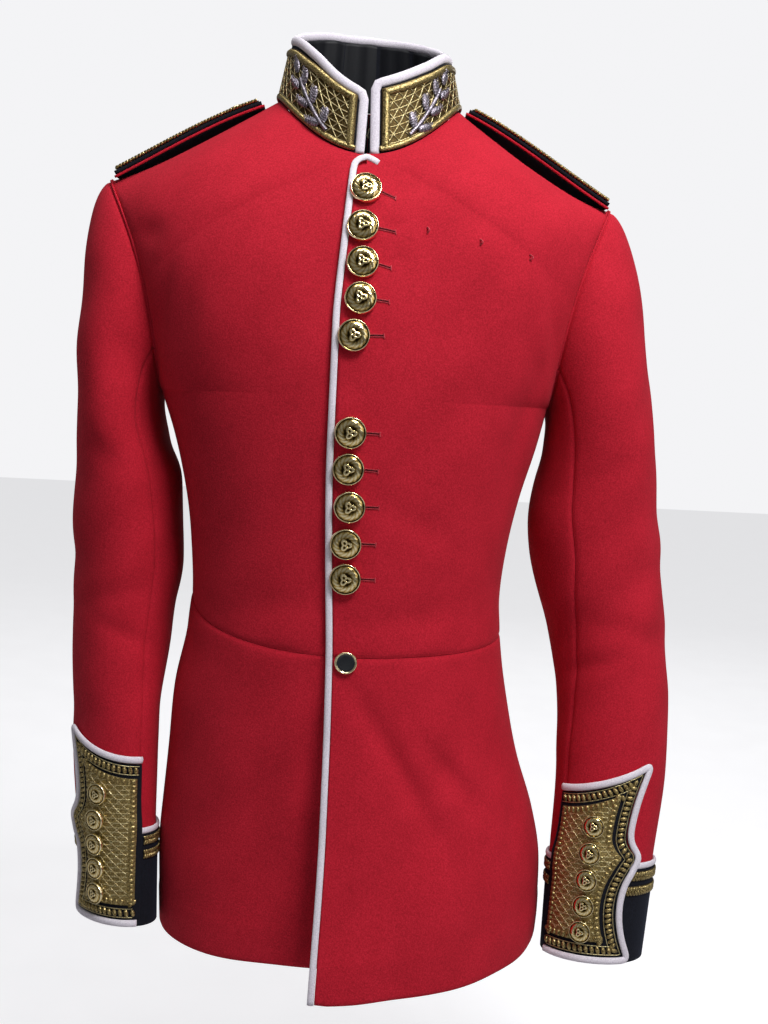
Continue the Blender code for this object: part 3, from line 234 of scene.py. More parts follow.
def worn(shape, side, back):
    """A panel's or a skirt's surface with its folds and waves, and the left front lifted over the right one."""
    outward = 1 if back else -1

    def surface(across, level):
        points = shape(side, back, across, level)
        from_waist = 1 - level if shape is not panel else level

        def clear_of_seams(fade):
            clear = ease(1 - np.abs(across), 0.0, fade) * ease(from_waist, 0.0, fade)
            return clear * ease(across, 0.0, fade) if back else clear

        points[..., 1] += outward * waves(points) * clear_of_seams(0.05)
        for x, z, half_length, half_width, lean, depth, fade in FOLDS[side, back]:
            dx, dz = side * points[..., 0] - x, points[..., 2] - z
            c, s = math.cos(math.radians(lean)), math.sin(math.radians(lean))
            reach = ((dx * c + dz * s) / half_width) ** 2 + ((dz * c - dx * s) / half_length) ** 2
            points[..., 1] -= outward * depth * np.exp(-reach) * clear_of_seams(fade)
        if side > 0 and not back:
            points[..., 1] -= LIFT * (1 - ease(points[..., 0], *LIFT_ENDS))
        return points
    return surface


def across_at(surface, distance, level):
    """The place across a panel whose x is that far from the centre line."""
    steps = np.linspace(0, 0.9, 73)  # short of the side seam, where x turns back
    xs = np.abs(surface(steps, np.full(steps.shape, float(level)))[:, 0])
    return math.copysign(float(np.interp(abs(distance), xs, steps)), distance)


def edge_past_centre(side, z):
    """How far a front reaches past the centre line at a height."""
    return float(through(FRONT_EDGE, 1, z)) - PIPING[0] - LAY if side > 0 else UNDERLAP


def centre_height(level):
    """Height of a forepart's level on the centre line."""
    if level < 1:
        return WAIST_FRONT_Z + (ARMPIT_Z - WAIST_FRONT_Z) * level
    return ARMPIT_Z + (PIT_Z - ARMPIT_Z) * (min(level, 2) - 1)


BRIM = (0.0, 0.0005, 0.0012, 0.0022, 0.0036)  # places beside a seam where a cloth mesh has its first points


def stations(length, pitch=CLOTH_PITCH):
    """Shares of a length at which a cloth mesh has points: close together beside both ends."""
    inside = np.linspace(BRIM[-1], length - BRIM[-1], max(3, round((length - 2 * BRIM[-1]) / pitch) + 1))
    return np.concatenate((BRIM[:-1], inside, length - np.array(BRIM[-2::-1]))) / length


def grid_across(surface, levels, width, first=None, strip=5):
    """Places across a panel for each level, from the centre seam or the front edge to the side."""
    shares = stations(width)
    lines = []
    for level in levels:
        steps = np.linspace(0, 1, 81)
        length = run_along(surface(steps, np.full(81, level)))
        start = SEAM if first is None else 0.0
        inner = np.interp(start + shares * (length[-1] - SEAM - start), length, steps)
        if first is not None:
            inner = np.concatenate((np.linspace(first(level), 0, strip + 1)[:-1], inner))
        lines.append(inner)
    return np.array(lines)


SEAM_DIP, SEAM_REACH = 0.0011, 0.0022  # how deep the cloth is drawn in at a seam, and over what distance


def seam_dip(points, seams):
    """How deep each point of a panel is drawn in by the seams on its sides: bottom, top, first, last."""
    run, rise = run_along(points, 1), run_along(points)
    distances = {"bottom": rise, "top": rise[-1] - rise, "first": run, "last": run[:, -1:] - run}
    return SEAM_DIP * sum(np.exp(-(distances[seam] / SEAM_REACH) ** 2) for seam in seams)


def placed(name, data):
    """A piece of the scene with that mesh, lamp or camera."""
    piece = bpy.data.objects.new(name, data)
    bpy.context.scene.collection.objects.link(piece)
    return piece


def settled(piece):
    """The piece with its modifiers made part of its mesh."""
    graph = bpy.context.evaluated_depsgraph_get()
    piece.data = bpy.data.meshes.new_from_object(piece.evaluated_get(graph), depsgraph=graph)
    piece.modifiers.clear()
    return piece


def sewn_on(piece, node=None):
    """Joins a piece to the one body, and hides the solid it stands for."""
    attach(piece, "root")
    if node:
        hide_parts(node)


def shell(name, points, finish, inside=None, wall=CLOTH, flip=False, closed=False, drop=None, seams=(), relief=None):
    """A cloth wall from a grid of points on its outer face, drawn in at its seams."""
    rows, columns = points.shape[:2]
    if closed:
        around = np.concatenate((points[:, -1:], points, points[:, :1]), axis=1)
        beside, up = np.gradient(around, axis=1)[:, 1:-1], np.gradient(points, axis=0)
    else:
        beside, up = np.gradient(points, axis=1), np.gradient(points, axis=0)
    normals = np.cross(beside, up) * (-1 if flip else 1)
    normals /= np.maximum(np.linalg.norm(normals, axis=2, keepdims=True), 1e-12)
    height = np.zeros((rows, columns)) if relief is None else relief(points)
    if seams:
        height = height - seam_dip(points, seams)
    points = points + normals * height[..., None]
    faces = []
    for i in range(rows - 1):
        for j in range(columns if closed else columns - 1):
            if drop is None or not drop(i, j):
                k = (j + 1) % columns
                face = (i * columns + j, i * columns + k, (i + 1) * columns + k, (i + 1) * columns + j)
                faces.append(face[::-1] if flip else face)
    mesh = bpy.data.meshes.new(name)
    mesh.from_pydata(points.reshape(-1, 3).tolist(), [], faces)
    bm = bmesh.new()
    bm.from_mesh(mesh)
    bmesh.ops.delete(bm, geom=[v for v in bm.verts if not v.link_faces], context="VERTS")
    bm.to_mesh(mesh)
    bm.free()
    mesh.shade_smooth()
    mesh.materials.append(finish)
    mesh.materials.append(inside or finish)
    piece = placed(name, mesh)
    thick = piece.modifiers.new("cloth", "SOLIDIFY")
    thick.thickness = wall
    thick.offset = -1.0
    thick.material_offset = 1
    return piece


def linear(colour):
    """An sRGB hex colour as the linear red, green, blue and alpha that Blender takes."""
    parts = [int(colour[i:i + 2], 16) / 255 for i in (1, 3, 5)]
    return tuple(c / 12.92 if c <= 0.04045 else ((c + 0.055) / 1.055) ** 2.4 for c in parts) + (1.0,)


def add(tree, kind, inputs=None, **settings):
    """Adds a node with its settings; each input takes a value, or the output it is linked from."""
    node = tree.nodes.new(kind)
    for key, value in settings.items():
        setattr(node, key, value)
    for key, value in (inputs or {}).items():
        if isinstance(value, bpy.types.NodeSocket):
            tree.links.new(value, node.inputs[key])
        else:
            node.inputs[key].default_value = value
    return node


def blended(tree, share, *colours):
    """Colours that follow one another evenly as a share goes from 0 to 1."""
    ramp = add(tree, "ShaderNodeValToRGB", {"Fac": share})
    stops = ramp.color_ramp.elements
    while len(stops) < len(colours):
        stops.new(0.5)
    for k, (stop, (place, colour)) in enumerate(zip(stops, colours)):
        stop.position, stop.color = place, linear(colour)
    return ramp.outputs["Color"]


def new_finish(name, constants):
    """A material with those constants on its shader, its node tree, and the coordinates that patterns follow."""
    material = bpy.data.materials.new(name)
    material.use_nodes = True
    tree = material.node_tree
    for key, value in constants.items():
        tree.nodes["Principled BSDF"].inputs[key].default_value = value
    return material, tree, add(tree, "ShaderNodeTexCoord").outputs["Object"]


def coloured(tree, colour, height=None, strength=0.0, distance=0.0):
    """Gives a finish its colour and the fine relief of its surface."""
    shader = tree.nodes["Principled BSDF"]
    tree.links.new(colour, shader.inputs["Base Color"])
    if height is not None:
        bump = add(tree, "ShaderNodeBump", {"Strength": strength, "Distance": distance, "Height": height})
        tree.links.new(bump.outputs["Normal"], shader.inputs["Normal"])


def woollen(name, colours, nap_mm, fuzz, sheen, sheen_colour, roughness=0.9):
    """Milled wool: its fibres are matted and raised to a short nap, so it is dull, mottled, and pale at grazing angles.
    The nap is drawn about twice as coarse as it is, to show from a step away. The nap noise that makes the bump also
    sets the colour, darker where the nap is low: painted shade in its hollows, over a broad random mottle of tone."""
    material, tree, place = new_finish(name, {
        "Roughness": roughness, "Specular IOR Level": 0.25, "Sheen Weight": sheen, "Sheen Roughness": 0.45,
        "Sheen Tint": linear(sheen_colour)})
    nap = add(tree, "ShaderNodeTexNoise", {"Vector": place, "Scale": 1000 / nap_mm, "Detail": 4.0, "Roughness": 0.65})
    cloud = add(tree, "ShaderNodeTexNoise", {"Vector": place, "Scale": 1000 / 28, "Detail": 3.0})
    # colour follows the bump's nap noise, darker where it is low (painted shade in the nap's hollows), plus a broad
    # random cloud of tone
    nap_shade_and_mottle = add(tree, "ShaderNodeMath", {0: cloud.outputs["Fac"], 1: 0.22, 2: nap.outputs["Fac"]},
                 operation="MULTIPLY_ADD")
    half = add(tree, "ShaderNodeMath", {0: nap_shade_and_mottle.outputs[0], 1: 0.82}, operation="MULTIPLY")
    colour = blended(tree, half.outputs[0], *zip(np.linspace(0.36, 0.64, len(colours)), colours))
    coloured(tree, colour, nap.outputs["Fac"], fuzz, 0.0006)
    return material


MELTON = woollen("scarlet_milled_melton", ("#a41124", "#b8172b", "#c81f35"), 1.3, 0.45, 0.06, "#ff7080")
SATEEN = woollen("black_cotton_sateen", ("#06070c", "#0e1017"), 1.2, 0.15, 0.05, "#6a708a", roughness=0.55)

FRONT_WIDTH, BACK_WIDTH = 0.235, 0.220  # across a panel, for the spacing of its points
TO_ARMPIT, TO_NECK, TO_SHOULDER = 0.208, 0.190, 0.120  # lengths up a panel, likewise
LEVELS = np.concatenate((stations(TO_ARMPIT) * 0.9988 + 0.0012, 1 + stations(TO_NECK)[1:-1] * (FRONT_TOP_LEVEL - 1),
                         np.linspace(FRONT_TOP_LEVEL, 2, 4), 2 + stations(TO_SHOULDER)[1:] * 0.9975))
for side, name in SIDE_NAMES.items():
    surface = worn(panel, side, False)

    def past(level):
        level = min(level, 1.999)
        return across_at(surface, -edge_past_centre(side, centre_height(level)), level)

    across = grid_across(surface, LEVELS, FRONT_WIDTH, past)
    strip = int(np.argmax(across[0] >= 0))
    across[LEVELS > 2.001, strip:] += NECK_SETBACKS[0] * np.linspace(1, 0, across.shape[1] - strip) ** 4
    points = surface(*matched(across, LEVELS[:, None]))
    top_row = int(np.argmax(LEVELS >= FRONT_TOP_LEVEL))
    piece = shell(f"forepart_cloth_{name}", points, MELTON, SATEEN, flip=side < 0,
                  drop=lambda i, j: j < strip and i >= top_row, seams=("bottom", "top", "last"))
    sewn_on(piece, f"forepart_{name}")

for side, name in SIDE_NAMES.items():
    surface = worn(panel, side, True)
    across = grid_across(surface, LEVELS, BACK_WIDTH)
    across[LEVELS > 2.001] += NECK_SETBACKS[1] * np.linspace(1, 0, across.shape[1]) ** 4
    points = surface(*matched(across, LEVELS[:, None]))
    piece = shell(f"back_cloth_{name}", points, MELTON, SATEEN, flip=side > 0,
                  seams=("bottom", "top", "first", "last"))
    sewn_on(piece, f"back_{name}")

# ==== Skirts ====
# Two skirts in front and two behind, of the same melton, hung from the waist seam and flared to the hem, where
# the cloth is turned up and pressed.
BACK_HEM_Z = -0.721
SIDE_HEMS = {-1: -0.726, 1: -0.715}
FRONT_HEMS = {-1: -0.721, 1: -0.732}
HEM_DEPTH, HEM_LIFT = 0.034, 0.0005  # the turned-up cloth shows as a low step this far above the edge
HEM_ROLL, HEM_ROLL_REACH = 0.0009, 0.0016  # how much the pressed edge is rolled in, and over what distance
SKIRT_WIDTH, SKIRT_LENGTH = 0.215, 0.275
# Height, half width right and left, depth of the right front, the left front and the backs
SKIRT = ((-0.420, 0.1363, 0.1370, 0.112, 0.112, 0.098),
         (-0.440, 0.1385, 0.1385, 0.112, 0.112, 0.098), (-0.458, 0.1400, 0.1400, 0.112, 0.112, 0.099),
         (-0.505, 0.149, 0.148, 0.112, 0.114, 0.104), (-0.560, 0.1525, 0.161, 0.110, 0.119, 0.111),
         (-0.610, 0.156, 0.178, 0.108, 0.125, 0.117), (-0.650, 0.158, 0.186, 0.107, 0.131, 0.122),
         (-0.690, 0.157, 0.187, 0.106, 0.1385, 0.126), (-0.730, 0.155, 0.184, 0.105, 0.1435, 0.129))


def skirt(side, back, across, level):
    """A skirt's surface: across from the centre line (0) to the side seam (1), level from the hem (0) to the
    waist (1)."""
    across, level = matched(across, level)
    sign = 1 if back else -1
    waist = WAIST_BACK_Z if back else WAIST_FRONT_Z
    hem, side_hem = BACK_HEM_Z if back else FRONT_HEMS[side], SIDE_HEMS[side]
    z0, z1 = hem + (waist - hem) * level, side_hem + (WAIST_SIDES[side] - side_hem) * level
    depth_column = 5 if back else (3 if side < 0 else 4)
    start = vector(0, sign * through(SKIRT, depth_column, z0), z0)
    end = vector(through(SKIRT, 1 if side < 0 else 2, z1), SIDE_Y, z1)
    width = end - start
    to_waist = ease(level, 0, 1)
    first = start + vector(0.60 * width[..., 0], 0, width[..., 2] * (1 - to_waist) / 3)
    second = end - vector(0, 0.61 * width[..., 1], width[..., 2] * (1 / 3 + LATE_CLIMB * to_waist))
    points = bezier(start, first, second, end, np.abs(across))
    points[..., 0] *= np.where(across < 0, -side, side)
    return points


def skirt_height(side, level):
    """Height of a front skirt's level on the centre line."""
    return FRONT_HEMS[side] + (WAIST_FRONT_Z - FRONT_HEMS[side]) * level


def hem_step(points):
    """The turned-up hem, and the roll of its pressed edge."""
    rise = run_along(points)
    turned_up = HEM_LIFT * (1 - ease(rise, HEM_DEPTH - 0.003, HEM_DEPTH + 0.004))
    return turned_up - HEM_ROLL * np.exp(-(rise / HEM_ROLL_REACH) ** 2)


SKIRT_LEVELS = stations(SKIRT_LENGTH) * (1 - SEAM / (WAIST_BACK_Z - BACK_HEM_Z))
for side, name in SIDE_NAMES.items():
    for back in (False, True):
        surface = worn(skirt, side, back)

        def past(level):
            return across_at(surface, -edge_past_centre(side, skirt_height(side, level)), level)

        across = grid_across(surface, SKIRT_LEVELS, SKIRT_WIDTH, None if back else past)
        points = surface(*matched(across, SKIRT_LEVELS[:, None]))
        where = "back" if back else "front"
        piece = shell(f"{where}_skirt_cloth_{name}", points, MELTON, flip=(side < 0) != back,
                      seams=("top", "last", "first") if back else ("top", "last"), relief=hem_step)
        sewn_on(piece, f"{where}_skirt_{name}")

# ==== Piping down the front edge ====
# A cord covered in white wool cloth, sewn into the edge of the left forepart and skirt and turned in at the
# collar, so that it follows the edge's waver.
PIPING_CORNER = 0.0050  # radius of its turn at the collar
PIPING_START = -0.0095  # its top end, on the wearer's left of the centre line
FELT = woollen("white_facing_cloth", ("#d2cad6", "#e3dce7", "#f0ebf3"), 1.0, 0.30, 0.20, "#ffffff")


def on_front(side, past, z, distance):
    """A point of a front, by distance past the centre line and height, moved out, and the normal there."""
    if z > WAIST_FRONT_Z:
        surface = worn(panel, side, False)
        low = z < ARMPIT_Z
        level = (z - WAIST_FRONT_Z) / (ARMPIT_Z - WAIST_FRONT_Z) if low else 1 + (z - ARMPIT_Z) / (PIT_Z - ARMPIT_Z)
    else:
        surface = worn(skirt, side, False)
        level = (z - FRONT_HEMS[side]) / (WAIST_FRONT_Z - FRONT_HEMS[side])
    across = np.array([across_at(surface, -past, level)])
    level = np.array([level])
    here, out = (moved_out(surface, across, level, np.array([side * d]))[0] for d in (distance, distance + 0.01))
    return here, (out - here) / 0.01


def covered_cord(name, points, normals, size, finish, closed=False, sides=12):
    """A flattened round cord along a line of points, its broad side turned along the normals."""
    points, normals = np.asarray(points, dtype=float), np.asarray(normals, dtype=float)
    ahead = np.roll(points, -1, axis=0) - np.roll(points, 1, axis=0) if closed else np.gradient(points, axis=0)
    ahead /= np.linalg.norm(ahead, axis=1, keepdims=True)
    beside = np.cross(normals, ahead)
    beside /= np.linalg.norm(beside, axis=1, keepdims=True)
    up = np.cross(ahead, beside)
    bm = bmesh.new()
    rings = []
    for point, b, n in zip(points, beside, up):
        rings.append([bm.verts.new(point + b * size[0] * math.cos(t) + n * size[1] * math.sin(t))
                      for t in (2 * math.pi * k / sides for k in range(sides))])
    for i in range(len(rings) if closed else len(rings) - 1):
        here, there = rings[i], rings[(i + 1) % len(rings)]
        for k in range(sides):
            bm.faces.new((here[k], here[(k + 1) % sides], there[(k + 1) % sides], there[k]))
    if not closed:
        bm.faces.new(rings[0])
        bm.faces.new(rings[-1][::-1])
    bmesh.ops.recalc_face_normals(bm, faces=bm.faces)
    mesh = bpy.data.meshes.new(name)
    bm.to_mesh(mesh)
    bm.free()
    mesh.shade_smooth()
    mesh.materials.append(finish)
    return placed(name, mesh)


top = centre_height(FRONT_TOP_LEVEL) + PIPING[0] + 12 * LAY
turn_x, turn_z = float(through(FRONT_EDGE, 1, top)) - PIPING_CORNER, top - PIPING_CORNER  # middle of the turn
line = [(PIPING_START + share * (turn_x - PIPING_START), top - 0.0004 * (1 - share) ** 2)
        for share in np.linspace(0, 1, 8)]
line += [(turn_x + PIPING_CORNER * math.sin(t), turn_z + PIPING_CORNER * math.cos(t))
         for t in np.radians((18, 36, 54, 72, 90))]
line += [(float(through(FRONT_EDGE, 1, z)), z)
         for z in np.linspace(turn_z - 0.003, FRONT_HEMS[1], 200)]
TUCK = 0.0012  # its top end is tucked this much lower
edge = [on_front(1, past, z, -CLOTH / 2 + TUCK * float(ease(past, PIPING_START - 0.002, PIPING_START + 0.004)))
        for past, z in line]
piece = covered_cord("front_edge_piping", [p for p, _ in edge], [n for _, n in edge], PIPING, FELT)
sewn_on(piece, "front_piping")

# ==== Sleeves ====
# Two-piece sleeves of melton: a top sleeve and an under sleeve each, with seams along the forearm and behind,
# cut to hang forward from the armhole and bend at the elbow.
RIGHT_SLEEVE_END_Z, LEFT_SLEEVE_END_Z = -0.715, -0.724
FOREARM_SEAM, HIND_SEAM = -38.0, 172.0  # degrees round the sleeve from its fore edge, outward
HEAD_SHARE = 0.26  # share of a sleeve's length that is its head
CUFF_HEIGHT = 0.078
TOP_SLEEVE_CUT = {"flat": (0.190, 0.640), "area": 0.107, "held": "hung"}
UNDER_SLEEVE_CUT = {"flat": (0.130, 0.600), "area": 0.066, "held": "hung"}
# Height, middle out from the centre, middle's depth, half across, half fore to hind, degrees that the section is
# turned inward at its fore edge, degrees that the cloth is turned on it
RIGHT_SLEEVE = ((-0.285, 0.2030, 0.004, 0.0385, 0.068, 0, 0), (-0.330, 0.1972, 0.007, 0.0462, 0.066, 2, 2),
                (-0.400, 0.1965, 0.010, 0.0485, 0.061, 8, 8), (-0.461, 0.1990, 0.008, 0.0430, 0.058, 16, 16),
                (-0.500, 0.2008, 0.004, 0.0395, 0.056, 22, 21), (-0.540, 0.2010, -0.001, 0.0365, 0.055, 27, 27),
                (-0.597, 0.1987, -0.008, 0.0335, 0.0515, 32, 33), (-0.650, 0.1947, -0.014, 0.0300, 0.0485, 34, 38),
                (RIGHT_SLEEVE_END_Z, 0.1900, -0.022, 0.0275, 0.0460, 35, 42))
LEFT_SLEEVE = ((-0.285, 0.2180, 0.004, 0.0495, 0.066, 0, 0), (-0.330, 0.2180, 0.006, 0.0560, 0.063, 0, 6),
               (-0.375, 0.2220, 0.007, 0.0580, 0.060, 0, 10), (-0.410, 0.2280, 0.006, 0.0565, 0.057, 0, 5),
               (-0.450, 0.2362, 0.002, 0.0525, 0.053, 0, -5), (-0.500, 0.2436, -0.006, 0.0495, 0.049, 0, -16),
               (-0.560, 0.2440, -0.017, 0.0485, 0.045, 0, -24), (-0.640, 0.2375, -0.031, 0.0455, 0.041, 0, -30),
               (LEFT_SLEEVE_END_Z, 0.2315, -0.042, 0.0425, 0.039, 0, -36))
# How the sleeve leaves the armhole: degrees round it from the tip by the front, direction (out, front, down)
# and how far it keeps that direction
SLEEVE_HEAD = ((0, 0.940, 0.00, 0.340, 0.030), (45, 0.80, 0.15, 0.55, 0.030), (90, 0.70, 0.30, 0.62, 0.028),
               (135, 0.45, 0.25, 0.85, 0.020), (180, 0.30, 0.00, 0.95, 0.012), (225, 0.45, -0.25, 0.85, 0.020),
               (270, 0.70, -0.30, 0.62, 0.028), (315, 0.80, -0.15, 0.55, 0.030), (360, 0.940, 0.00, 0.340, 0.030))
# Creases of each sleeve: degrees round it, height, half length in degrees, half width, rise in metres per degree
# of turn, depth
SLEEVE_CREASES = {
    -1: (
        (20, -0.430, 45, 0.012, -0.00025, 0.0024), (-15, -0.462, 40, 0.010, 0.00030, 0.0024),
        (15, -0.305, 38, 0.014, 0.00035, 0.0018), (70, -0.400, 40, 0.016, 0.00015, 0.0016),
        (205, -0.425, 50, 0.013, -0.00020, 0.0022), (235, -0.305, 40, 0.014, 0.00030, 0.0020)),
    1: (
        (20, -0.440, 45, 0.012, -0.00020, 0.0024), (-20, -0.470, 40, 0.010, 0.00030, 0.0026),
        (10, -0.300, 40, 0.014, 0.00040, 0.0018), (60, -0.385, 40, 0.016, 0.00020, 0.0016),
        (200, -0.430, 50, 0.013, 0.00020, 0.0022), (230, -0.300, 40, 0.014, 0.00030, 0.0020)),
}


def sleeve_sections(side):
    """A sleeve's table of sections, from the top down."""
    return LEFT_SLEEVE if side > 0 else RIGHT_SLEEVE


def sleeve_end(side):
    """Height of a sleeve's lower end."""
    return sleeve_sections(side)[-1][0]


def sleeve_ring(side, turn, z):
    """Points of the sleeve below the armpit, by degrees from its fore edge outward, and by height."""
    table = sleeve_sections(side)
    out, depth, across, fore, section_turn, cloth_turn = (through(table, k, z) for k in range(1, 7))
    step = 0.01
    inner = np.clip(z, table[-1][0] + step, table[0][0] - step)
    lean = (through(table, 2, inner - step) - through(table, 2, inner + step)) / (2 * step)
    angle, twist = np.radians(turn + cloth_turn), np.radians(section_turn)
    a, f = across * np.sin(angle), fore * np.cos(angle)
    outward, forward = a * np.cos(twist) - f * np.sin(twist), a * np.sin(twist) + f * np.cos(twist)
    return vector(out + outward, depth - forward, z - lean * forward)


def sleeve(side, turn, along):
    """A sleeve's surface: turn in degrees from its fore edge outward, along from the armhole (0) to its end (1)."""
    turn, along = matched(turn, along)
    top = sleeve_sections(side)[0][0]
    end = sleeve_end(side)
    z = np.clip(top + (end - top) * (along - HEAD_SHARE) / (1 - HEAD_SHARE), end - 0.02, top)
    ring = sleeve_ring(side, turn, z)
    loop_turn = (90.0 - turn) % 360.0
    loop = armhole(side, loop_turn)
    heading = vector(through(SLEEVE_HEAD, 1, loop_turn), -through(SLEEVE_HEAD, 2, loop_turn),
                     -through(SLEEVE_HEAD, 3, loop_turn))
    heading /= np.linalg.norm(heading, axis=-1, keepdims=True)
    first_ring = sleeve_ring(side, turn, np.full(turn.shape, top))
    below = sleeve_ring(side, turn, np.full(turn.shape, top - 0.01))
    down = (below - first_ring) / 0.01
    gap = np.linalg.norm(first_ring - loop, axis=-1, keepdims=True)
    head = bezier(loop, loop + heading * through(SLEEVE_HEAD, 4, loop_turn)[..., None],
                  first_ring - down * gap * 0.38, first_ring, np.clip(along / HEAD_SHARE, 0, 1))
    points = np.where((along < HEAD_SHARE)[..., None], head, ring)
    points[..., 0] *= side
    return points


def along_at(side, height):
    """The share of a sleeve's length that lies at a height above its end."""
    top = sleeve_sections(side)[0][0]
    z = sleeve_end(side) + np.asarray(height, dtype=float)
    return HEAD_SHARE + (1 - HEAD_SHARE) * (z - top) / (sleeve_end(side) - top)


def turns_between(first, last, radius):
    """Degrees round a sleeve from one seam to the next, close together beside each."""
    length = math.radians(last - first) * radius
    return first + 0.19 + stations(length) * (last - first - 0.38)


SLEEVE_RADIUS, HEAD_LENGTH, ARM_LENGTH = 0.052, 0.155, 0.430  # for the spacing of a sleeve's points
CREASES_FADE = ((0.04, 0.12), (0.19, 0.15))  # shares of the length below the armhole, heights above the sleeve's end
SLEEVE_PIECES = (("top", turns_between(FOREARM_SEAM, HIND_SEAM, SLEEVE_RADIUS), TOP_SLEEVE_CUT),
                 ("under", turns_between(HIND_SEAM, FOREARM_SEAM + 360, SLEEVE_RADIUS), UNDER_SLEEVE_CUT))
for side, name in SIDE_NAMES.items():
    along = np.concatenate((stations(HEAD_LENGTH)[:-1] * HEAD_SHARE,
                            HEAD_SHARE + stations(ARM_LENGTH) * (1 - HEAD_SHARE)))
    along[0] = 0.0012
    free = ease(along, *CREASES_FADE[0]) * (1 - ease(along, *(along_at(side, height) for height in CREASES_FADE[1])))
    for part, turns, cut in SLEEVE_PIECES:
        points = sleeve(side, turns[None, :], along[:, None])

        def creases(points):
            height = waves(points) * 1.3 * np.ones(points.shape[:2])
            for turn, z, half_turn, half_width, rise, depth in SLEEVE_CREASES[side]:
                away = (turns[None, :] - turn + 180) % 360 - 180
                dz = points[..., 2] - z - rise * away
                height = height - depth * np.exp(-(dz / half_width) ** 2 - (away / half_turn) ** 2)
            return height * free[:, None]

        piece = shell(f"{part}_sleeve_cloth_{name}", points, MELTON, flip=side > 0,
                      seams=("bottom", "first", "last"), relief=creases)
        sewn_on(piece, f"{part}_sleeve_{name}")

# ==== Round cuffs ====
# Navy facing cloth round the end of each sleeve, with white piping on its top edge, turned in at the wrist.
CUFF_OUT = LAY + CLOTH  # the cuff's outer face above the sleeve
NAVY = woollen("navy_facing_cloth", ("#090a12", "#0e101a", "#151823"), 1.4, 0.40, 0.10, "#7f8cb8")
CUFF_TURNS = np.linspace(FOREARM_SEAM, FOREARM_SEAM + 360, 121)[:-1]


def round_sleeve(side, turns, along, distance):
    """Points round a forearm, moved out from the sleeve."""
    turns, along = matched(turns, along)
    return moved_out(lambda a, b: sleeve(side, a * 100, b), turns / 100, along, -side * distance * np.ones(turns.shape))


for side, name in SIDE_NAMES.items():
    along = along_at(side, np.linspace(CUFF_HEIGHT, 0, 27))
    points = round_sleeve(side, CUFF_TURNS[None, :], along[:, None], CUFF_OUT)
    piece = shell(f"cuff_cloth_{name}", points, NAVY, flip=side > 0, closed=True)
    sewn_on(piece, f"cuff_{name}")
    top = np.array([along_at(side, CUFF_HEIGHT + PIPING[0] + LAY)])
    here, out = (round_sleeve(side, CUFF_TURNS, top, PIPING[1] + LAY + d) for d in (0.0, 0.01))
    piece = covered_cord(f"cuff_top_piping_{name}", here, out - here, PIPING, FELT, closed=True)
    sewn_on(piece, f"cuff_piping_{name}")

# ==== Gold lace on the cuffs ====
# Two bars of gold wire lace round each cuff: bundles of twisted wire laid slantwise, side by side, and couched
# down along a middle line.
LACE_BARS = ((0.0690, 0.0765), (0.0570, 0.0645))  # lower and upper edge above the sleeve's end
LACE_BACKING = 0.0006  # thickness of the lace under its stitches
LACE_STITCH = {"Length": 0.0026, "Width": 0.0052, "Height": 0.0017}
LACE_PITCH = 0.0030
LACE_ROWS = ((0.27, 0.6), (0.73, -0.6))  # place across a bar, slant of the stitches
# A flap's points and the hollows between them: height above the sleeve's end, reach from the forearm seam
FLAP_POINTS = ((0.001, 0.079), (0.089, 0.077), (0.167, 0.081))
FLAP_HOLLOWS = ((0.050, 0.0645), (0.106, 0.0675))


def gold_wire(name, painted_gap_shade, painted_glint, roughness, ply_mm):
    """Silver-gilt wire, drawn fine and wound in close coils. Its colour goes at random from the first colour, painted
    shade between the coils, to the second, painted glints. The coils are drawn coarser than they are, to show from a
    step away."""
    material, tree, place = new_finish(name, {"Metallic": 0.85, "Roughness": roughness})
    glint_and_cloud_noise = add(tree, "ShaderNodeTexNoise", {"Vector": place, "Scale": 1000 / ply_mm, "Detail": 2.0})
    ply = add(tree, "ShaderNodeTexVoronoi", {"Vector": place, "Scale": 1000 / ply_mm})
    # random mix of painted shade between the coils and painted glints
    colour = blended(tree, glint_and_cloud_noise.outputs["Fac"], (0.36, painted_gap_shade), (0.62, painted_glint))
    coloured(tree, colour, ply.outputs["Distance"], 0.5, 0.0004)
    return material


# Each wire finish: the first colour is painted shade between the coils, the second painted glints
BULLION = gold_wire("gold_bullion_wire", "#4f3e1c", "#cbb67c", 0.36, 0.9)
GOLD_GROUND = gold_wire("gold_woven_ground", "#2a2011", "#6b5730", 0.50, 0.7)
GOLD_CLOTH = gold_wire("gold_stitched_cloth", "#6b5a34", "#b8a26a", 0.45, 0.8)
BRIGHT_WIRE = gold_wire("gold_passing_wire", "#a08a52", "#efe2b2", 0.28, 0.8)


def new_tree(name, sizes):
    """Geometry Nodes with a mesh and some sizes as inputs, and those inputs' sockets."""
    tree = bpy.data.node_groups.new(name, "GeometryNodeTree")
    face = tree.interface
    face.new_socket("Geometry", in_out="INPUT", socket_type="NodeSocketGeometry")
    for label in sizes:
        face.new_socket(label, in_out="INPUT", socket_type="NodeSocketFloat")
    face.new_socket("Geometry", in_out="OUTPUT", socket_type="NodeSocketGeometry")
    return tree, add(tree, "NodeGroupInput").outputs


def made_real(tree, geometry, finish):
    """Ends a tree: its geometry as real, smooth surfaces in one finish."""
    real = add(tree, "GeometryNodeRealizeInstances", {"Geometry": geometry})
    soft = add(tree, "GeometryNodeSetShadeSmooth", {"Geometry": real.outputs["Geometry"]})
    done = add(tree, "GeometryNodeSetMaterial", {"Geometry": soft.outputs["Geometry"], "Material": finish})
    add(tree, "NodeGroupOutput", {"Geometry": done.outputs["Geometry"]})
    return tree


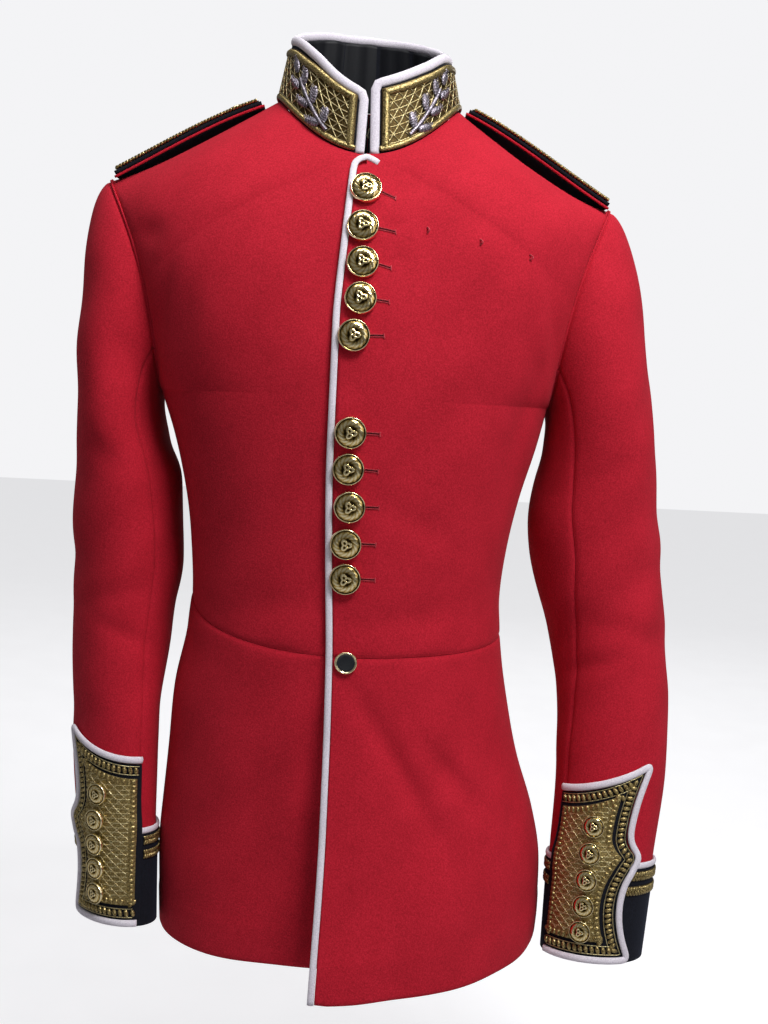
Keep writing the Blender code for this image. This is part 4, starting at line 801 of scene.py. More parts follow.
def stitch_tree(name, finish, segments=8, rings=5):
    """Geometry Nodes: a plump stitch on every point of a mesh, turned by the point's ahead and up."""
    tree, given = new_tree(name, ("Length", "Width", "Height", "Slant"))
    ball = add(tree, "GeometryNodeMeshUVSphere", {"Segments": segments, "Rings": rings, "Radius": 0.5})
    size = add(tree, "ShaderNodeCombineXYZ", {"X": given["Length"], "Y": given["Width"], "Z": given["Height"]})
    up = add(tree, "GeometryNodeInputNamedAttribute", {"Name": "up"}, data_type="FLOAT_VECTOR")
    ahead = add(tree, "GeometryNodeInputNamedAttribute", {"Name": "ahead"}, data_type="FLOAT_VECTOR")
    upright = add(tree, "FunctionNodeAxesToRotation", {"Primary Axis": up.outputs["Attribute"],
                                                       "Secondary Axis": ahead.outputs["Attribute"]})
    lean = add(tree, "ShaderNodeCombineXYZ", {"Z": given["Slant"]})
    slanted = add(tree, "FunctionNodeRotateRotation", {"Rotation": upright.outputs["Rotation"],
                                                       "Rotate By": lean.outputs["Vector"]}, rotation_space="LOCAL")
    laid = add(tree, "GeometryNodeInstanceOnPoints", {
        "Points": given["Geometry"], "Instance": ball.outputs["Mesh"], "Rotation": slanted.outputs["Rotation"],
        "Scale": size.outputs["Vector"]})
    return made_real(tree, laid.outputs["Instances"], finish)


def grown(name, base, tree, **sizes):
    """The plain mesh that a tree makes from a base mesh, with the tree's named inputs set."""
    carrier = placed(name, base)
    nodes = carrier.modifiers.new("grown", "NODES")
    nodes.node_group = tree
    for item in tree.interface.items_tree:
        if item.in_out == "INPUT" and item.name in sizes:
            nodes[item.identifier] = sizes[item.name]
    bpy.context.view_layer.update()
    settled(carrier).data.name = name
    bpy.data.meshes.remove(base)
    return carrier


def places(points, ahead, up):
    """A mesh of loose points that carry the directions a stitch is turned by."""
    mesh = bpy.data.meshes.new("places")
    mesh.from_pydata(np.asarray(points).tolist(), [], [])
    for label, values in (("ahead", ahead), ("up", up)):
        field = mesh.attributes.new(label, "FLOAT_VECTOR", "POINT")
        field.data.foreach_set("vector", np.asarray(values, dtype=np.float32).ravel())
    return mesh


def sewn_row(here, out, tree, then=None, **sizes):
    """Stitches at some places, each raised toward its place in out and turned toward the next one, or then."""
    ahead = np.gradient(here, axis=0) if then is None else then - here
    return grown("stitches", places(here, ahead, out - here), tree, **sizes)


def along_line(line, pitch, start=0.5):
    """Places a pitch apart along a flat line of points, the pitch adjusted to fit it."""
    line = np.asarray(line, dtype=float)
    length = run_along(line)
    count = max(1, round(length[-1] / pitch))
    at = (np.arange(count) + start) * length[-1] / count
    return np.stack([np.interp(at, length, line[:, k]) for k in range(line.shape[1])], axis=1)


def merged(name, pieces):
    """Several pieces as one."""
    bm = bmesh.new()
    materials = []
    for piece in pieces:
        first = len(bm.faces)
        bm.from_mesh(piece.data)
        bm.faces.ensure_lookup_table()
        for material in piece.data.materials:
            if material not in materials:
                materials.append(material)
        slots = [materials.index(material) for material in piece.data.materials]
        for face in bm.faces[first:]:
            face.material_index = slots[face.material_index] if slots else 0
    mesh = bpy.data.meshes.new(name)
    bm.to_mesh(mesh)
    bm.free()
    for material in materials:
        mesh.materials.append(material)
    for piece in pieces:
        bpy.data.objects.remove(piece)
    return placed(name, mesh)


def turn_at(side, reach, height):
    """Degrees round the sleeve at a distance from the forearm seam, at a height above the sleeve's end."""
    reach, height = matched(reach, height)
    turns = np.linspace(FOREARM_SEAM, FOREARM_SEAM + 360, 181)
    ring = sleeve_ring(side, turns, sleeve_end(side) + height[..., None])
    run = run_along(ring, ring.ndim - 2)
    flat = [np.interp(r, line, turns) for r, line in zip(reach.ravel(), run.reshape(-1, len(turns)))]
    return np.array(flat).reshape(reach.shape)


def on_sleeve(side, reach, height, distance):
    """A point on the forearm, moved out from the sleeve's outer face."""
    reach, height = matched(reach, height)
    return round_sleeve(side, turn_at(side, reach, height), along_at(side, height), np.asarray(distance))


def flap_width(height):
    """Width of a flap at a height: a hollow between each two points, flat at its middle."""
    points, hollows = np.array(FLAP_POINTS), np.array(FLAP_HOLLOWS)
    k = int(np.clip(np.searchsorted(points[:, 0], height) - 1, 0, len(hollows) - 1))
    low = hollows[k]
    point = points[k] if height < low[0] else points[k + 1]
    return low[1] + (point[1] - low[1]) * ((height - low[0]) / (point[0] - low[0])) ** 2


STITCHES = stitch_tree("gold_bullion_stitches", BULLION)
lace_out = CUFF_OUT + LAY + LACE_BACKING
for side, name in SIDE_NAMES.items():
    parts = []
    for low, high in LACE_BARS:
        heights = np.linspace(low, high, 4)
        first = float(turn_at(side, [flap_width(high) + 4 * LAY], [high])[0])
        turns = np.linspace(first, FOREARM_SEAM + 355, 90)
        strip = round_sleeve(side, turns[None, :], along_at(side, heights)[:, None], lace_out)
        parts.append(settled(shell("backing", strip, GOLD_GROUND, wall=LACE_BACKING, flip=side < 0)))
        for share, slant in LACE_ROWS:
            height = low + (high - low) * share
            ring = round_sleeve(side, turns, along_at(side, [height]), lace_out)
            points = along_line(ring, LACE_PITCH)
            at = along_line(turns[:, None], np.ptp(turns) / len(points))[:len(points), 0]
            here, out, then = (round_sleeve(side, at + turned, along_at(side, [height]), lace_out + distance)
                               for turned, distance in ((0.0, 0.0002), (0.0, 0.01), (0.5, 0.0002)))
            parts.append(sewn_row(here, out, STITCHES, then, **LACE_STITCH, Slant=slant * side))
    sewn_on(merged(f"cuff_gold_lace_{name}", parts), f"cuff_lace_{name}")

# ==== Cuff flaps ====
# A slashed flap of navy cloth on each cuff, scalloped at its free side and piped in white but for the edge in the
# forearm seam. It is bordered with gold bullion, and a panel of gold lattice work fills its middle.
FLAP_SEAM_HEIGHT = 0.144  # top of the flap at the forearm seam
FACET = 0.0006  # extra clearance over the round cuff
BORDER_INSET, BORDER_WIDTH = 0.0112, 0.0068  # middle of the outer border in from the flap's outline
PANEL_INSET, PANEL_SEAM_INSET = 0.0180, 0.0042  # the panel inside the outline, and from the forearm seam
PANEL_RAISE = 0.0009  # its thickness
ON_CLOTH = 0.0006  # middle of a stitch or a cord above the cloth that it lies on
BORDER_PITCH, BORDER_STITCH = 0.0044, {"Length": 0.0039, "Width": BORDER_WIDTH, "Height": 0.0032, "Slant": 0.30}
RIM_INSET, RIM_PITCH = 0.0026, 0.0042  # the row of stitches round the panel
RIM_STITCH = {"Length": 0.0037, "Width": 0.0058, "Height": 0.0030, "Slant": 0.0}
CORD_RADIUS, CORD_PITCH = 0.0004, 0.0024
LATTICE_ROW, LATTICE_BASE = 0.0039, 0.0078  # height of a row of triangles, and their base
LATTICE_WIRE, LATTICE_LIFT = 0.00035, 0.0003  # radius of its wire, and the wire's middle above the ground
LATTICE_INSET = 0.0050  # the lattice ends this far inside the panel
FLAP_PIPING, FLAP_PIPING_PITCH = (0.0030, 0.0019), 0.0022
FLAP_ACROSS, FLAP_UP = stations(0.070, 0.0028), stations(0.150, 0.0028)


def flap_layer(height):
    """Height of a flap's inner face above the sleeve: over the cuff, over its piping, then on the sleeve."""
    over_cuff, over_piping = CUFF_OUT + LAY + FACET, 2 * PIPING[1] + 2 * LAY + FACET
    return (over_cuff + (over_piping - over_cuff) * (ease(height, 0.066, 0.076) - ease(height, 0.086, 0.098))
            + (LAY + FACET - over_cuff) * ease(height, 0.086, 0.112))


def flap_grid(shares, ups, inset, seam_inset):
    """Reach and height of each point of a flap's layer, from the bottom row up."""
    bottom = FLAP_POINTS[0][0] + inset
    top = FLAP_POINTS[-1][0] - 1.5 * inset
    shares = np.asarray(shares)
    reach, height = [], []
    for up in ups:
        seam_height = bottom + (FLAP_SEAM_HEIGHT - inset - bottom) * up
        edge_height = bottom + (top - bottom) * up
        width = flap_width(edge_height) - inset
        reach.append(seam_inset + (width - seam_inset) * shares)
        height.append(seam_height + (edge_height - seam_height) * shares ** 1.8)
    return np.array(reach), np.array(height)


def free_edge(reach, height):
    """The free edge of a flap's layer as reach and height: its top, its scalloped side and its bottom."""
    grid = np.stack((reach, height), axis=-1)
    return np.concatenate((grid[-1, :-1], grid[::-1, -1], grid[0, -2::-1]))


def beyond(line, distance):
    """A flat line moved to its left by a distance, its corners kept sharp."""
    steps = np.diff(line, axis=0)
    beside = np.stack((-steps[:, 1], steps[:, 0]), axis=1) / np.linalg.norm(steps, axis=1, keepdims=True)
    before, after = np.concatenate((beside[:1], beside)), np.concatenate((beside, beside[-1:]))
    return line + distance * (before + after) / (1 + np.sum(before * after, axis=1, keepdims=True))


def stitched(line, on, pitch, tree, **sizes):
    """A row of stitches along a flat line, laid on a surface that turns flat points and a distance into places."""
    flat = along_line(line, pitch)
    ahead = np.gradient(flat, axis=0) * 0.2
    return sewn_row(on(flat, 0.0), on(flat, 0.01), tree, on(flat + ahead, 0.0), **sizes)


def wire_tree(name, finish, sides=5):
    """Geometry Nodes: a round wire along every edge of a mesh."""
    tree, given = new_tree(name, ("Radius",))
    line = add(tree, "GeometryNodeMeshToCurve", {"Mesh": given["Geometry"]})
    ring = add(tree, "GeometryNodeCurvePrimitiveCircle", {"Resolution": sides, "Radius": given["Radius"]})
    wire = add(tree, "GeometryNodeCurveToMesh", {"Curve": line.outputs["Curve"], "Profile Curve": ring.outputs["Curve"],
                                                 "Fill Caps": True})
    return made_real(tree, wire.outputs["Mesh"], finish)


def lines_mesh(lines):
    """A mesh of edges only, one chain for each line of points."""
    mesh = bpy.data.meshes.new("lines")
    points, edges = [], []
    for line in lines:
        edges += [(len(points) + k, len(points) + k + 1) for k in range(len(line) - 1)]
        points += np.asarray(line).tolist()
    mesh.from_pydata(points, edges, [])
    return mesh


def lattice(width, height, row, base):
    """Straight lines of a lattice of triangles over a rectangle: level ones, and two sets that lean to and fro."""
    lines = [((0, z), (width, z)) for z in np.arange(row, height, row)]
    run = height / row * base / 2
    for start in np.arange(-run, width, base):
        for first, last in ((start, start + run), (start + run, start)):
            lines.append(((first, 0.0), (last, height)))
    return lines


def clipped(lines, inside, pitch=0.0016):
    """The stretches of flat lines that lie inside a region, as chains of points a pitch apart."""
    chains = []
    for first, last in lines:
        first, last = np.array(first, dtype=float), np.array(last, dtype=float)
        count = max(2, round(np.linalg.norm(last - first) / pitch))
        flat = first + (last - first) * np.linspace(0, 1, count + 1)[:, None]
        kept = inside(flat)
        edges = np.flatnonzero(np.diff(np.concatenate(([False], kept, [False])).astype(int)))
        chains += [flat[a:b] for a, b in zip(edges[::2], edges[1::2]) if b - a > 1]
    return chains


def wired(lines, tree, radius, name="wires"):
    """Wires along lines of points."""
    return grown(name, lines_mesh(lines), tree, Radius=radius)


WIRES = wire_tree("gold_passing_wires", BRIGHT_WIRE)
for side, name in SIDE_NAMES.items():
    inset = 2 * PIPING[0] + 2 * LAY
    reach, height = flap_grid(FLAP_ACROSS, FLAP_UP, inset, LAY)
    piece = shell(f"cuff_flap_cloth_{name}", on_sleeve(side, reach, height, flap_layer(height) + CLOTH), NAVY,
                  flip=side < 0)
    sewn_on(piece, f"cuff_flap_{name}")

    line = beyond(free_edge(reach, height), PIPING[0] + 3 * LAY)
    line[:, 0] = np.maximum(line[:, 0], 0.0)
    line = along_line(line, FLAP_PIPING_PITCH, start=0.0)
    for _ in range(7):  # a cord can't turn a sharp corner
        line[1:-1] = (line[:-2] + 2 * line[1:-1] + line[2:]) / 4
    here, out = (on_sleeve(side, line[:, 0], line[:, 1], flap_layer(line[:, 1]) + PIPING[1] + LAY + d)
                 for d in (0.0, 0.01))
    piece = covered_cord(f"cuff_flap_piping_{name}", here, out - here, FLAP_PIPING, FELT)
    sewn_on(piece, f"flap_piping_{name}")

    def on_flap(flat, distance):
        """Flat points, as reach and height, laid on the flap's cloth."""
        return on_sleeve(side, flat[:, 0], flat[:, 1], flap_layer(flat[:, 1]) + CLOTH + distance)

    border = free_edge(*flap_grid(FLAP_ACROSS, FLAP_UP, BORDER_INSET, 0.0030))
    parts = [stitched(border, lambda f, d: on_flap(f, ON_CLOTH + d), BORDER_PITCH, STITCHES, **BORDER_STITCH)]
    for distance in (BORDER_WIDTH / 2 + 0.0002, -BORDER_WIDTH / 2 - 0.0001):
        cord = along_line(beyond(border, distance), CORD_PITCH, start=0.0)
        parts.append(wired([on_flap(cord, ON_CLOTH)], WIRES, CORD_RADIUS))

    reach, height = flap_grid(FLAP_ACROSS, FLAP_UP, PANEL_INSET, PANEL_SEAM_INSET)
    points = on_flap(np.stack((reach, height), axis=-1).reshape(-1, 2), PANEL_RAISE).reshape(reach.shape + (3,))
    parts.append(settled(shell("ground", points, GOLD_CLOTH, wall=PANEL_RAISE, flip=side < 0)))
    edge = free_edge(reach, height)
    edge = np.concatenate((edge, np.stack((reach[:, 0], height[:, 0]), axis=1)[1:]))
    rim = beyond(edge, -RIM_INSET)
    parts.append(stitched(rim, lambda f, d: on_flap(f, PANEL_RAISE + d), RIM_PITCH, STITCHES, **RIM_STITCH))

    def on_panel(flat):
        """Which flat points lie inside the panel's rim."""
        inner = np.interp(flat[:, 1], height.mean(axis=1), reach[:, 0]) + LATTICE_INSET + 0.0002
        outer = np.array([flap_width(z) for z in flat[:, 1]]) - PANEL_INSET - LATTICE_INSET
        low = FLAP_POINTS[0][0] + PANEL_INSET + LATTICE_INSET
        high = np.interp(flat[:, 0], reach[-1], height[-1]) - LATTICE_INSET
        return (flat[:, 0] > inner) & (flat[:, 0] < outer) & (flat[:, 1] > low) & (flat[:, 1] < high)

    chains = clipped(lattice(0.070, 0.160, LATTICE_ROW, LATTICE_BASE), on_panel)
    parts.append(wired([on_flap(chain, PANEL_RAISE + LATTICE_LIFT) for chain in chains], WIRES, LATTICE_WIRE))
    sewn_on(merged(f"cuff_flap_gold_{name}", parts), f"flap_embroidery_{name}")

# ==== Standing collar ====
# A stiffened navy collar, lined, with a padded white edging along its top and front edges and a panel of gold
# lattice work on each front half. It meets in front at a hook and eye.
COLLAR_TOP_SIDE, COLLAR_TOP_FRONT, COLLAR_TOP_BACK = 0.067, 0.080, 0.058  # reach of its top edge from the middle
COLLAR_GAPS = (0.0046, 0.0008)  # width of the front opening at its foot and at its top
# The collar's top edge on the wearer's right and left: degrees from the front, height
COLLAR_TOPS = {-1: ((0, -0.0065), (20, 0.0076), (40, 0.0280), (60, 0.0440), (90, 0.0570), (120, 0.0700),
                    (150, 0.0775), (180, 0.0780)),
               1: ((0, 0.0025), (20, 0.0120), (40, 0.0245), (60, 0.0380), (90, 0.0475), (120, 0.0620),
                   (150, 0.0730), (180, 0.0780))}
COLLAR_FOOT, EDGING_FOOT = 0.0, 0.005  # shares of the height where the cloth and the edging begin
COLLAR_LINING = 0.0010  # thickness
EDGING = (0.0038, 0.0023)  # half width and half thickness
EMBROIDERY_END_TURN = 96.0  # degrees from the front where the gold panel ends
EMBROIDERY = 0.0008  # thickness of its ground
COLLAR_ROW, COLLAR_BASE = 0.0066, 0.0086  # the lattice's triangles: height of a row, and their base
COLLAR_WIRE = 0.00042  # radius
NECK_ARC = 0.108  # length of the collar's foot from the front edge to the side
# Borders of the gold panel: the edge that it follows, inset of its middle, width, height
COLLAR_BORDERS = (("top", 0.0122, 0.0064, 0.0036), ("foot", 0.0086, 0.0050, 0.0028), ("front", 0.0122, 0.0062, 0.0030))
BORDER_FOOT = 0.0048  # the panel's own foot, as an inset
LATTICE_START, LATTICE_FOOT = 0.0140, 0.0055  # inset in front and on top, and height above the collar's foot


def collar(turn, up):
    """The collar's outer face: degrees from the front round the wearer's left, and up from 0 to 1."""
    turn, up = matched(turn, up)
    turn = (turn + 180) % 360 - 180
    c, s = np.cos(np.radians(turn)), np.sin(np.radians(np.abs(turn)))
    base = neckline(np.abs(turn))
    depth = np.where(c > 0, -COLLAR_TOP_FRONT * c, -COLLAR_TOP_BACK * c)
    rise = np.where(turn < 0, through(COLLAR_TOPS[-1], 1, np.abs(turn)), through(COLLAR_TOPS[1], 1, np.abs(turn)))
    top = vector(COLLAR_TOP_SIDE * s, depth, rise)
    points = base + (top - base) * up[..., None]
    points[..., 0] *= np.sign(turn)
    return points


def on_collar(turns, ups, distance):
    """Points on the collar, moved out from its outer face."""
    turns, ups = matched(turns, ups)
    return moved_out(lambda a, b: collar(a * 100, b), turns / 100, ups, distance * np.ones(turns.shape))


def front_turn(up, inset):
    """Degrees from the front of a line that runs up the collar at an inset from its front edge."""
    gap = COLLAR_GAPS[0] + (COLLAR_GAPS[1] - COLLAR_GAPS[0]) * up
    return np.degrees(np.arcsin((gap / 2 + inset) / (NECK_SIDE + (COLLAR_TOP_SIDE - NECK_SIDE) * up)))


def collar_height(turn):
    """Length of the collar's slope from its foot to its top edge."""
    return np.linalg.norm(collar(turn, 1.0) - collar(turn, 0.0), axis=-1)


def top_up(turn, inset):
    """Share of the collar's height at an inset from its top edge."""
    up = collar(turn, 1.0) - collar(turn, 0.0)
    height = np.linalg.norm(up, axis=-1)
    along = collar(turn + 1.0, 1.0) - collar(turn - 1.0, 1.0)
    turned = np.cross(up / height[..., None], along / np.linalg.norm(along, axis=-1, keepdims=True))
    return 1 - inset / height / np.linalg.norm(turned, axis=-1)


def collar_grid(inset, shares, halves, behind, foot=COLLAR_FOOT, end=None):
    """Turns and shares of the height of a layer that keeps an inset from the collar's front and top edges."""
    start = front_turn(shares, inset)[:, None]
    if end is None:
        half = start + (90 - start) * np.linspace(0, 1, halves)
        hind = np.ones(start.shape) * np.linspace(90, 270, behind)[1:-1]
        turns = np.concatenate((half, hind, 360 - half[:, ::-1]), axis=1)
    else:
        turns = start + (end - start) * np.linspace(0, 1, halves)
    ups = foot + (top_up(turns, inset) - foot) * shares[:, None]
    return turns, ups


collar_inset = 2 * EDGING[0] - 0.0006
UPS = np.linspace(0, 1, 22)
turns, ups = collar_grid(collar_inset, UPS, 48, 56)
piece = shell("collar_cloth", on_collar(turns, ups, 0.0), NAVY)
sewn_on(piece, "collar")


def drawn_in(points):
    """Upright creases where the lining is eased round the neck."""
    turn = np.degrees(np.arctan2(points[..., 0], -points[..., 1]))
    return 0.0009 * (np.sin(np.radians(turn * 13)) + np.sin(np.radians(turn * 23 + 40)))


piece = shell("collar_lining_cloth", on_collar(turns, ups, -CLOTH - LAY), SATEEN, wall=COLLAR_LINING, relief=drawn_in)
sewn_on(piece, "collar_lining")

corner = float(front_turn(1.0, 1.6 * EDGING[0]))
left_ups, right_ups = (np.linspace(EDGING_FOOT, float(top_up(turn, 2.1 * EDGING[0])), 20)
                       for turn in (corner, 360 - corner))
over = np.concatenate(([corner], turns[-1][1:-1], [360 - corner]))
edging_turns = np.concatenate((front_turn(left_ups, EDGING[0]), over, 360 - front_turn(right_ups, EDGING[0])[::-1]))
edging_ups = np.concatenate((left_ups, top_up(over, EDGING[0]), right_ups[::-1]))
here, out = (on_collar(edging_turns, edging_ups, d) for d in (-CLOTH / 2 + 0.0003, 0.01))
piece = covered_cord("collar_edge_piping", here, out - here, EDGING, FELT, sides=16)
sewn_on(piece, "collar_edging")

# The silver's first colour is painted shade between the coils, its second painted glints
SILVER = gold_wire("silver_purl_wire", "#57515a", "#b9b1bd", 0.34, 0.8)
LEAF_STITCHES = stitch_tree("silver_leaf_stitches", SILVER, segments=10, rings=7)
SILVER_WIRES = wire_tree("silver_wires", SILVER)
# A sprig of leaves: distance back from the front edge, height, length, width, degrees that the leaf is turned
SPRIG_STEM = ((0.029, 0.0085), (0.037, 0.0130), (0.045, 0.0185), (0.053, 0.0240), (0.060, 0.0300))
SPRIG_LEAVES = ((0.032, 0.0185, 0.0150, 0.0070, 100), (0.041, 0.0075, 0.0150, 0.0070, -18),
                (0.043, 0.0270, 0.0155, 0.0072, 92), (0.052, 0.0150, 0.0155, 0.0072, -6),
                (0.054, 0.0330, 0.0150, 0.0070, 84), (0.063, 0.0225, 0.0150, 0.0070, 6),
                (0.066, 0.0345, 0.0155, 0.0072, 44))
LEAF_HEIGHT, STEM_RADIUS, VEIN_RADIUS = 0.0036, 0.0018, 0.0004


def flat_to_turn(flat):
    """Turn and share of the height, from the distance back from the front edge and the height above the foot."""
    turn = front_turn(0.5, 0.0) + flat[:, 0] / NECK_ARC * 90
    return turn, flat[:, 1] / collar_height(turn)


def edge_line(inset, where):
    """Turns and shares of the height of a line along the top, the foot or the front edge of the gold panel."""
    if where == "front":
        up = np.linspace(0.08, float(top_up(8.0, inset)), 24)
        return front_turn(up, inset), up
    turn = np.linspace(float(front_turn(0.9 if where == "top" else 0.1, inset)), EMBROIDERY_END_TURN, 60)
    return turn, top_up(turn, inset) if where == "top" else (inset - BORDER_FOOT) / collar_height(turn)


for side, name in SIDE_NAMES.items():
    shares = np.linspace(0, 1, 18)
    turns, ups = collar_grid(collar_inset + 6 * LAY, shares, 44, 0, foot=0.05, end=EMBROIDERY_END_TURN)
    mirror = (lambda t: t) if side > 0 else (lambda t: 360 - t)
    points = on_collar(mirror(turns), ups, LAY + EMBROIDERY)
    parts = [settled(shell("ground", points, GOLD_GROUND, wall=EMBROIDERY, flip=side < 0))]

    def on_half(flat, distance):
        """Flat points laid on the gold panel."""
        turn, up = flat_to_turn(np.asarray(flat))
        return on_collar(mirror(turn), up, LAY + EMBROIDERY + distance)

    for where, border_inset, width, height in COLLAR_BORDERS:
        turn, up = edge_line(border_inset, where)
        middle = on_collar(mirror(turn), up, LAY + EMBROIDERY)
        flat = along_line(np.column_stack((middle, turn, up)), 0.0036)
        here, out = (on_collar(mirror(flat[:, 3]), flat[:, 4], LAY + EMBROIDERY + d) for d in (0.0004, 0.01))
        parts.append(sewn_row(here, out, STITCHES, Length=0.0027, Width=width, Height=height, Slant=0.40 * side))

    def on_ground(flat):
        """Which flat points lie inside the panel's borders."""
        turn, up = flat_to_turn(flat)
        return ((flat[:, 0] > LATTICE_START) & (turn < EMBROIDERY_END_TURN - 1) & (flat[:, 1] > LATTICE_FOOT)
                & (up < top_up(turn, LATTICE_START)))

    chains = clipped(lattice(0.118, 0.080, COLLAR_ROW, COLLAR_BASE), on_ground)
    parts.append(wired([on_half(chain, LATTICE_LIFT) for chain in chains], WIRES, COLLAR_WIRE))
    sewn_on(merged(f"collar_gold_{name}", parts), f"collar_embroidery_{name}")

    stem = along_line(SPRIG_STEM, 0.002, start=0.0)
    parts = [wired([on_half(stem, 0.0016)], SILVER_WIRES, STEM_RADIUS)]
    for *middle, length, width, degrees in SPRIG_LEAVES:
        flat = np.array([middle])
        ahead = np.array([[math.cos(math.radians(degrees)), math.sin(math.radians(degrees))]]) * 0.001
        here, out, then = on_half(flat, 0.0014), on_half(flat, 0.01), on_half(flat + ahead, 0.0014)
        parts.append(sewn_row(here, out, LEAF_STITCHES, then, Length=length, Width=width, Height=LEAF_HEIGHT,
                              Slant=0.0))
        veins = []
        along, beside = ahead[0] * 1000, np.array((-ahead[0, 1], ahead[0, 0])) * 1000
        for share in np.linspace(-0.7, 0.7, 6):
            for turn in (-1, 1):
                run = np.linspace(0, 0.92 * math.sqrt(1 - share ** 2), 5)
                vein = flat + np.outer(share * length / 2 + 0.0016 * run, along)
                vein = vein + np.outer(turn * run * width / 2, beside)
                swell = 0.0018 * np.sqrt(np.clip(1 - run ** 2 - share ** 2, 0, 1))
                veins.append(on_half(vein, 0.0015 + swell))
        parts.append(wired(veins, SILVER_WIRES, VEIN_RADIUS))
    sewn_on(merged(f"collar_silver_sprig_{name}", parts))

# ==== Shoulder straps ====
# A stiff navy board on each shoulder, laced in gold on three edges, over a scarlet underlay. It is sewn into the
# sleeve head and buttoned beside the collar.
STRAP_ENDS = {-1: (0.2115, 0.0900), 1: (0.2080, 0.0840)}  # outer and inner end, out from the centre
STRAP_HALF_WIDTHS = (0.0275, 0.0215)  # at the shoulder tip and at the collar
STRAP_END_RISE = 0.0010  # a strap's clearance over the shoulder seam at its ends
STRAP_ARCHES = {-1: 0.0080, 1: 0.0105}  # how much more the stiff strap stands off the hollow shoulder, halfway
STRAP_DROP = 0.0042  # a strap's edges lie this much lower than its middle at the shoulder tip
STRAP_FLATTENED = (0.5, 0.95)  # share of the drop that is gone at the collar, before and behind the seam
STRAP_LACE_WIDTH = 0.0095  # the lace leaves the board bare inside this
STRAP_RIBS = (-0.86, 0.86)  # middles of the lace's raised ribs, as shares of the half width
STRAP_STITCH, STRAP_PITCH = {"Length": 0.0024, "Width": 0.0056, "Height": 0.0030}, 0.0026
# Node, piece, finish, its slot, wall, how far it reaches past the strap's outline
STRAP_LAYERS = (("strap_underlay", "underlay_cloth", MELTON, "scarlet_melton", 0.0020, 0.0012),
                ("shoulder_strap", "strap_board", NAVY, "navy_facing", 0.0032, 0.0),
                ("strap_lace", "strap_gold_lace", GOLD_GROUND, "gold_lace", 0.0010, -0.0015))
SHOULDER_SEAMS = {side: np.abs(panel(side, False, np.linspace(0, 1, 81), 2.999)) * (1, 1, -1) for side in (-1, 1)}


def strap_point(side, x, share, above, spare=0.0):
    """A point on a strap: share of the half width forward or behind, above the strap's underside."""
    outer_x, inner_x = STRAP_ENDS[side]
    run = (outer_x - x) / (outer_x - inner_x)
    width = STRAP_HALF_WIDTHS[0] + (STRAP_HALF_WIDTHS[1] - STRAP_HALF_WIDTHS[0]) * run + spare
    seam_x, seam_z = SHOULDER_SEAMS[side][:, 0], SHOULDER_SEAMS[side][:, 2]
    arch = 4 * (outer_x - seam_x) * (seam_x - inner_x) / (outer_x - inner_x) ** 2
    seam_z = seam_z + STRAP_END_RISE + STRAP_ARCHES[side] * arch
    slope = (np.interp(outer_x, seam_x, seam_z) - np.interp(inner_x, seam_x, seam_z)) / (outer_x - inner_x)
    before, behind = STRAP_FLATTENED
    drop = STRAP_DROP * (1 - np.clip(run, 0, 1) * np.where(np.asarray(share) > 0, behind, before))
    out = (above - drop * (share * width / (width - spare)) ** 2) / np.sqrt(1 + slope ** 2)
    return vector(side * (x - slope * out), width * share, np.interp(x, seam_x, seam_z) + out)


for side, name in SIDE_NAMES.items():
    above = 0.0
    for node, title, finish, slot, wall, spare in STRAP_LAYERS:
        above += wall
        inner = 1 - STRAP_LACE_WIDTH / STRAP_HALF_WIDTHS[1]
        shares = np.concatenate((np.linspace(-1, -inner, 6), np.linspace(-inner, inner, 14)[1:-1],
                                 np.linspace(inner, 1, 6)))
        ends = STRAP_ENDS[side][0] + spare, STRAP_ENDS[side][1] - spare
        xs = np.concatenate((np.linspace(ends[0], ends[1] + STRAP_LACE_WIDTH, 50),
                             np.linspace(ends[1] + STRAP_LACE_WIDTH, ends[1], 5)[1:]))
        points = strap_point(side, xs[:, None], shares[None, :], above, spare)
        hole = (lambda i, j: i < 49 and 5 <= j < 18) if node == "strap_lace" else None
        # Every layer's underside is navy; on the scarlet underlay this is painted shade, darkening the gap seen under
        # the arched strap
        piece = shell(f"{title}_{name}", points, finish, NAVY, wall=wall, flip=side < 0, drop=hole)
        sewn_on(piece, f"{node}_{name}")
        above += LAY

    def on_strap(flat, distance):
        """Flat points on a strap: x, and distance behind the middle as a share of the half width."""
        return strap_point(side, flat[:, 0], flat[:, 1], above + distance)

    parts = []
    for share in STRAP_RIBS:
        xs = np.linspace(STRAP_ENDS[side][0] - 0.002, STRAP_ENDS[side][1] + 0.003, 80)
        line = np.column_stack((xs, np.full(80, share)))
        for offset, slant in ((-0.11, 0.7), (0.11, -0.7)):
            flat = along_line(line, STRAP_PITCH)
            flat[:, 1] += offset
            here, out = on_strap(flat, 0.0001), on_strap(flat, 0.01)
            parts.append(sewn_row(here, out, STITCHES, **STRAP_STITCH, Slant=slant))
    sewn_on(merged(f"strap_lace_ribs_{name}", parts))

# ==== Buttons ====
# Struck brass, gilt: a domed face with a plain raised rim and a wreath in relief, on a flat back. Ten large ones
# close the front, five small ones sit on each cuff flap and one on each strap.
# Past the centre line, height
FRONT_BUTTONS = ((0.0004, -0.0868), (-0.0004, -0.1172), (0.0009, -0.1455), (0.0004, -0.1735), (-0.0036, -0.2015),
                 (-0.0026, -0.2767), (-0.0026, -0.3055), (-0.0006, -0.3350), (-0.0021, -0.3645), (-0.0011, -0.3930))
FLAP_BUTTONS = (0.027, 0.0485, 0.070, 0.0915, 0.113)  # heights above the sleeve's end
FLAP_BUTTON_REACH = 0.0345  # from the forearm seam
STRAP_BUTTON_INSET = 0.0215  # from the strap's inner end
LARGE_BUTTON, SMALL_BUTTON = (0.0127, 0.0072), (0.0095, 0.0056)  # radius, height
BUTTON_BACK = ((1.0, 0.26), (0.985, 0.10), (0.90, 0.0))  # from the rim to the seat: shares of the radius and height


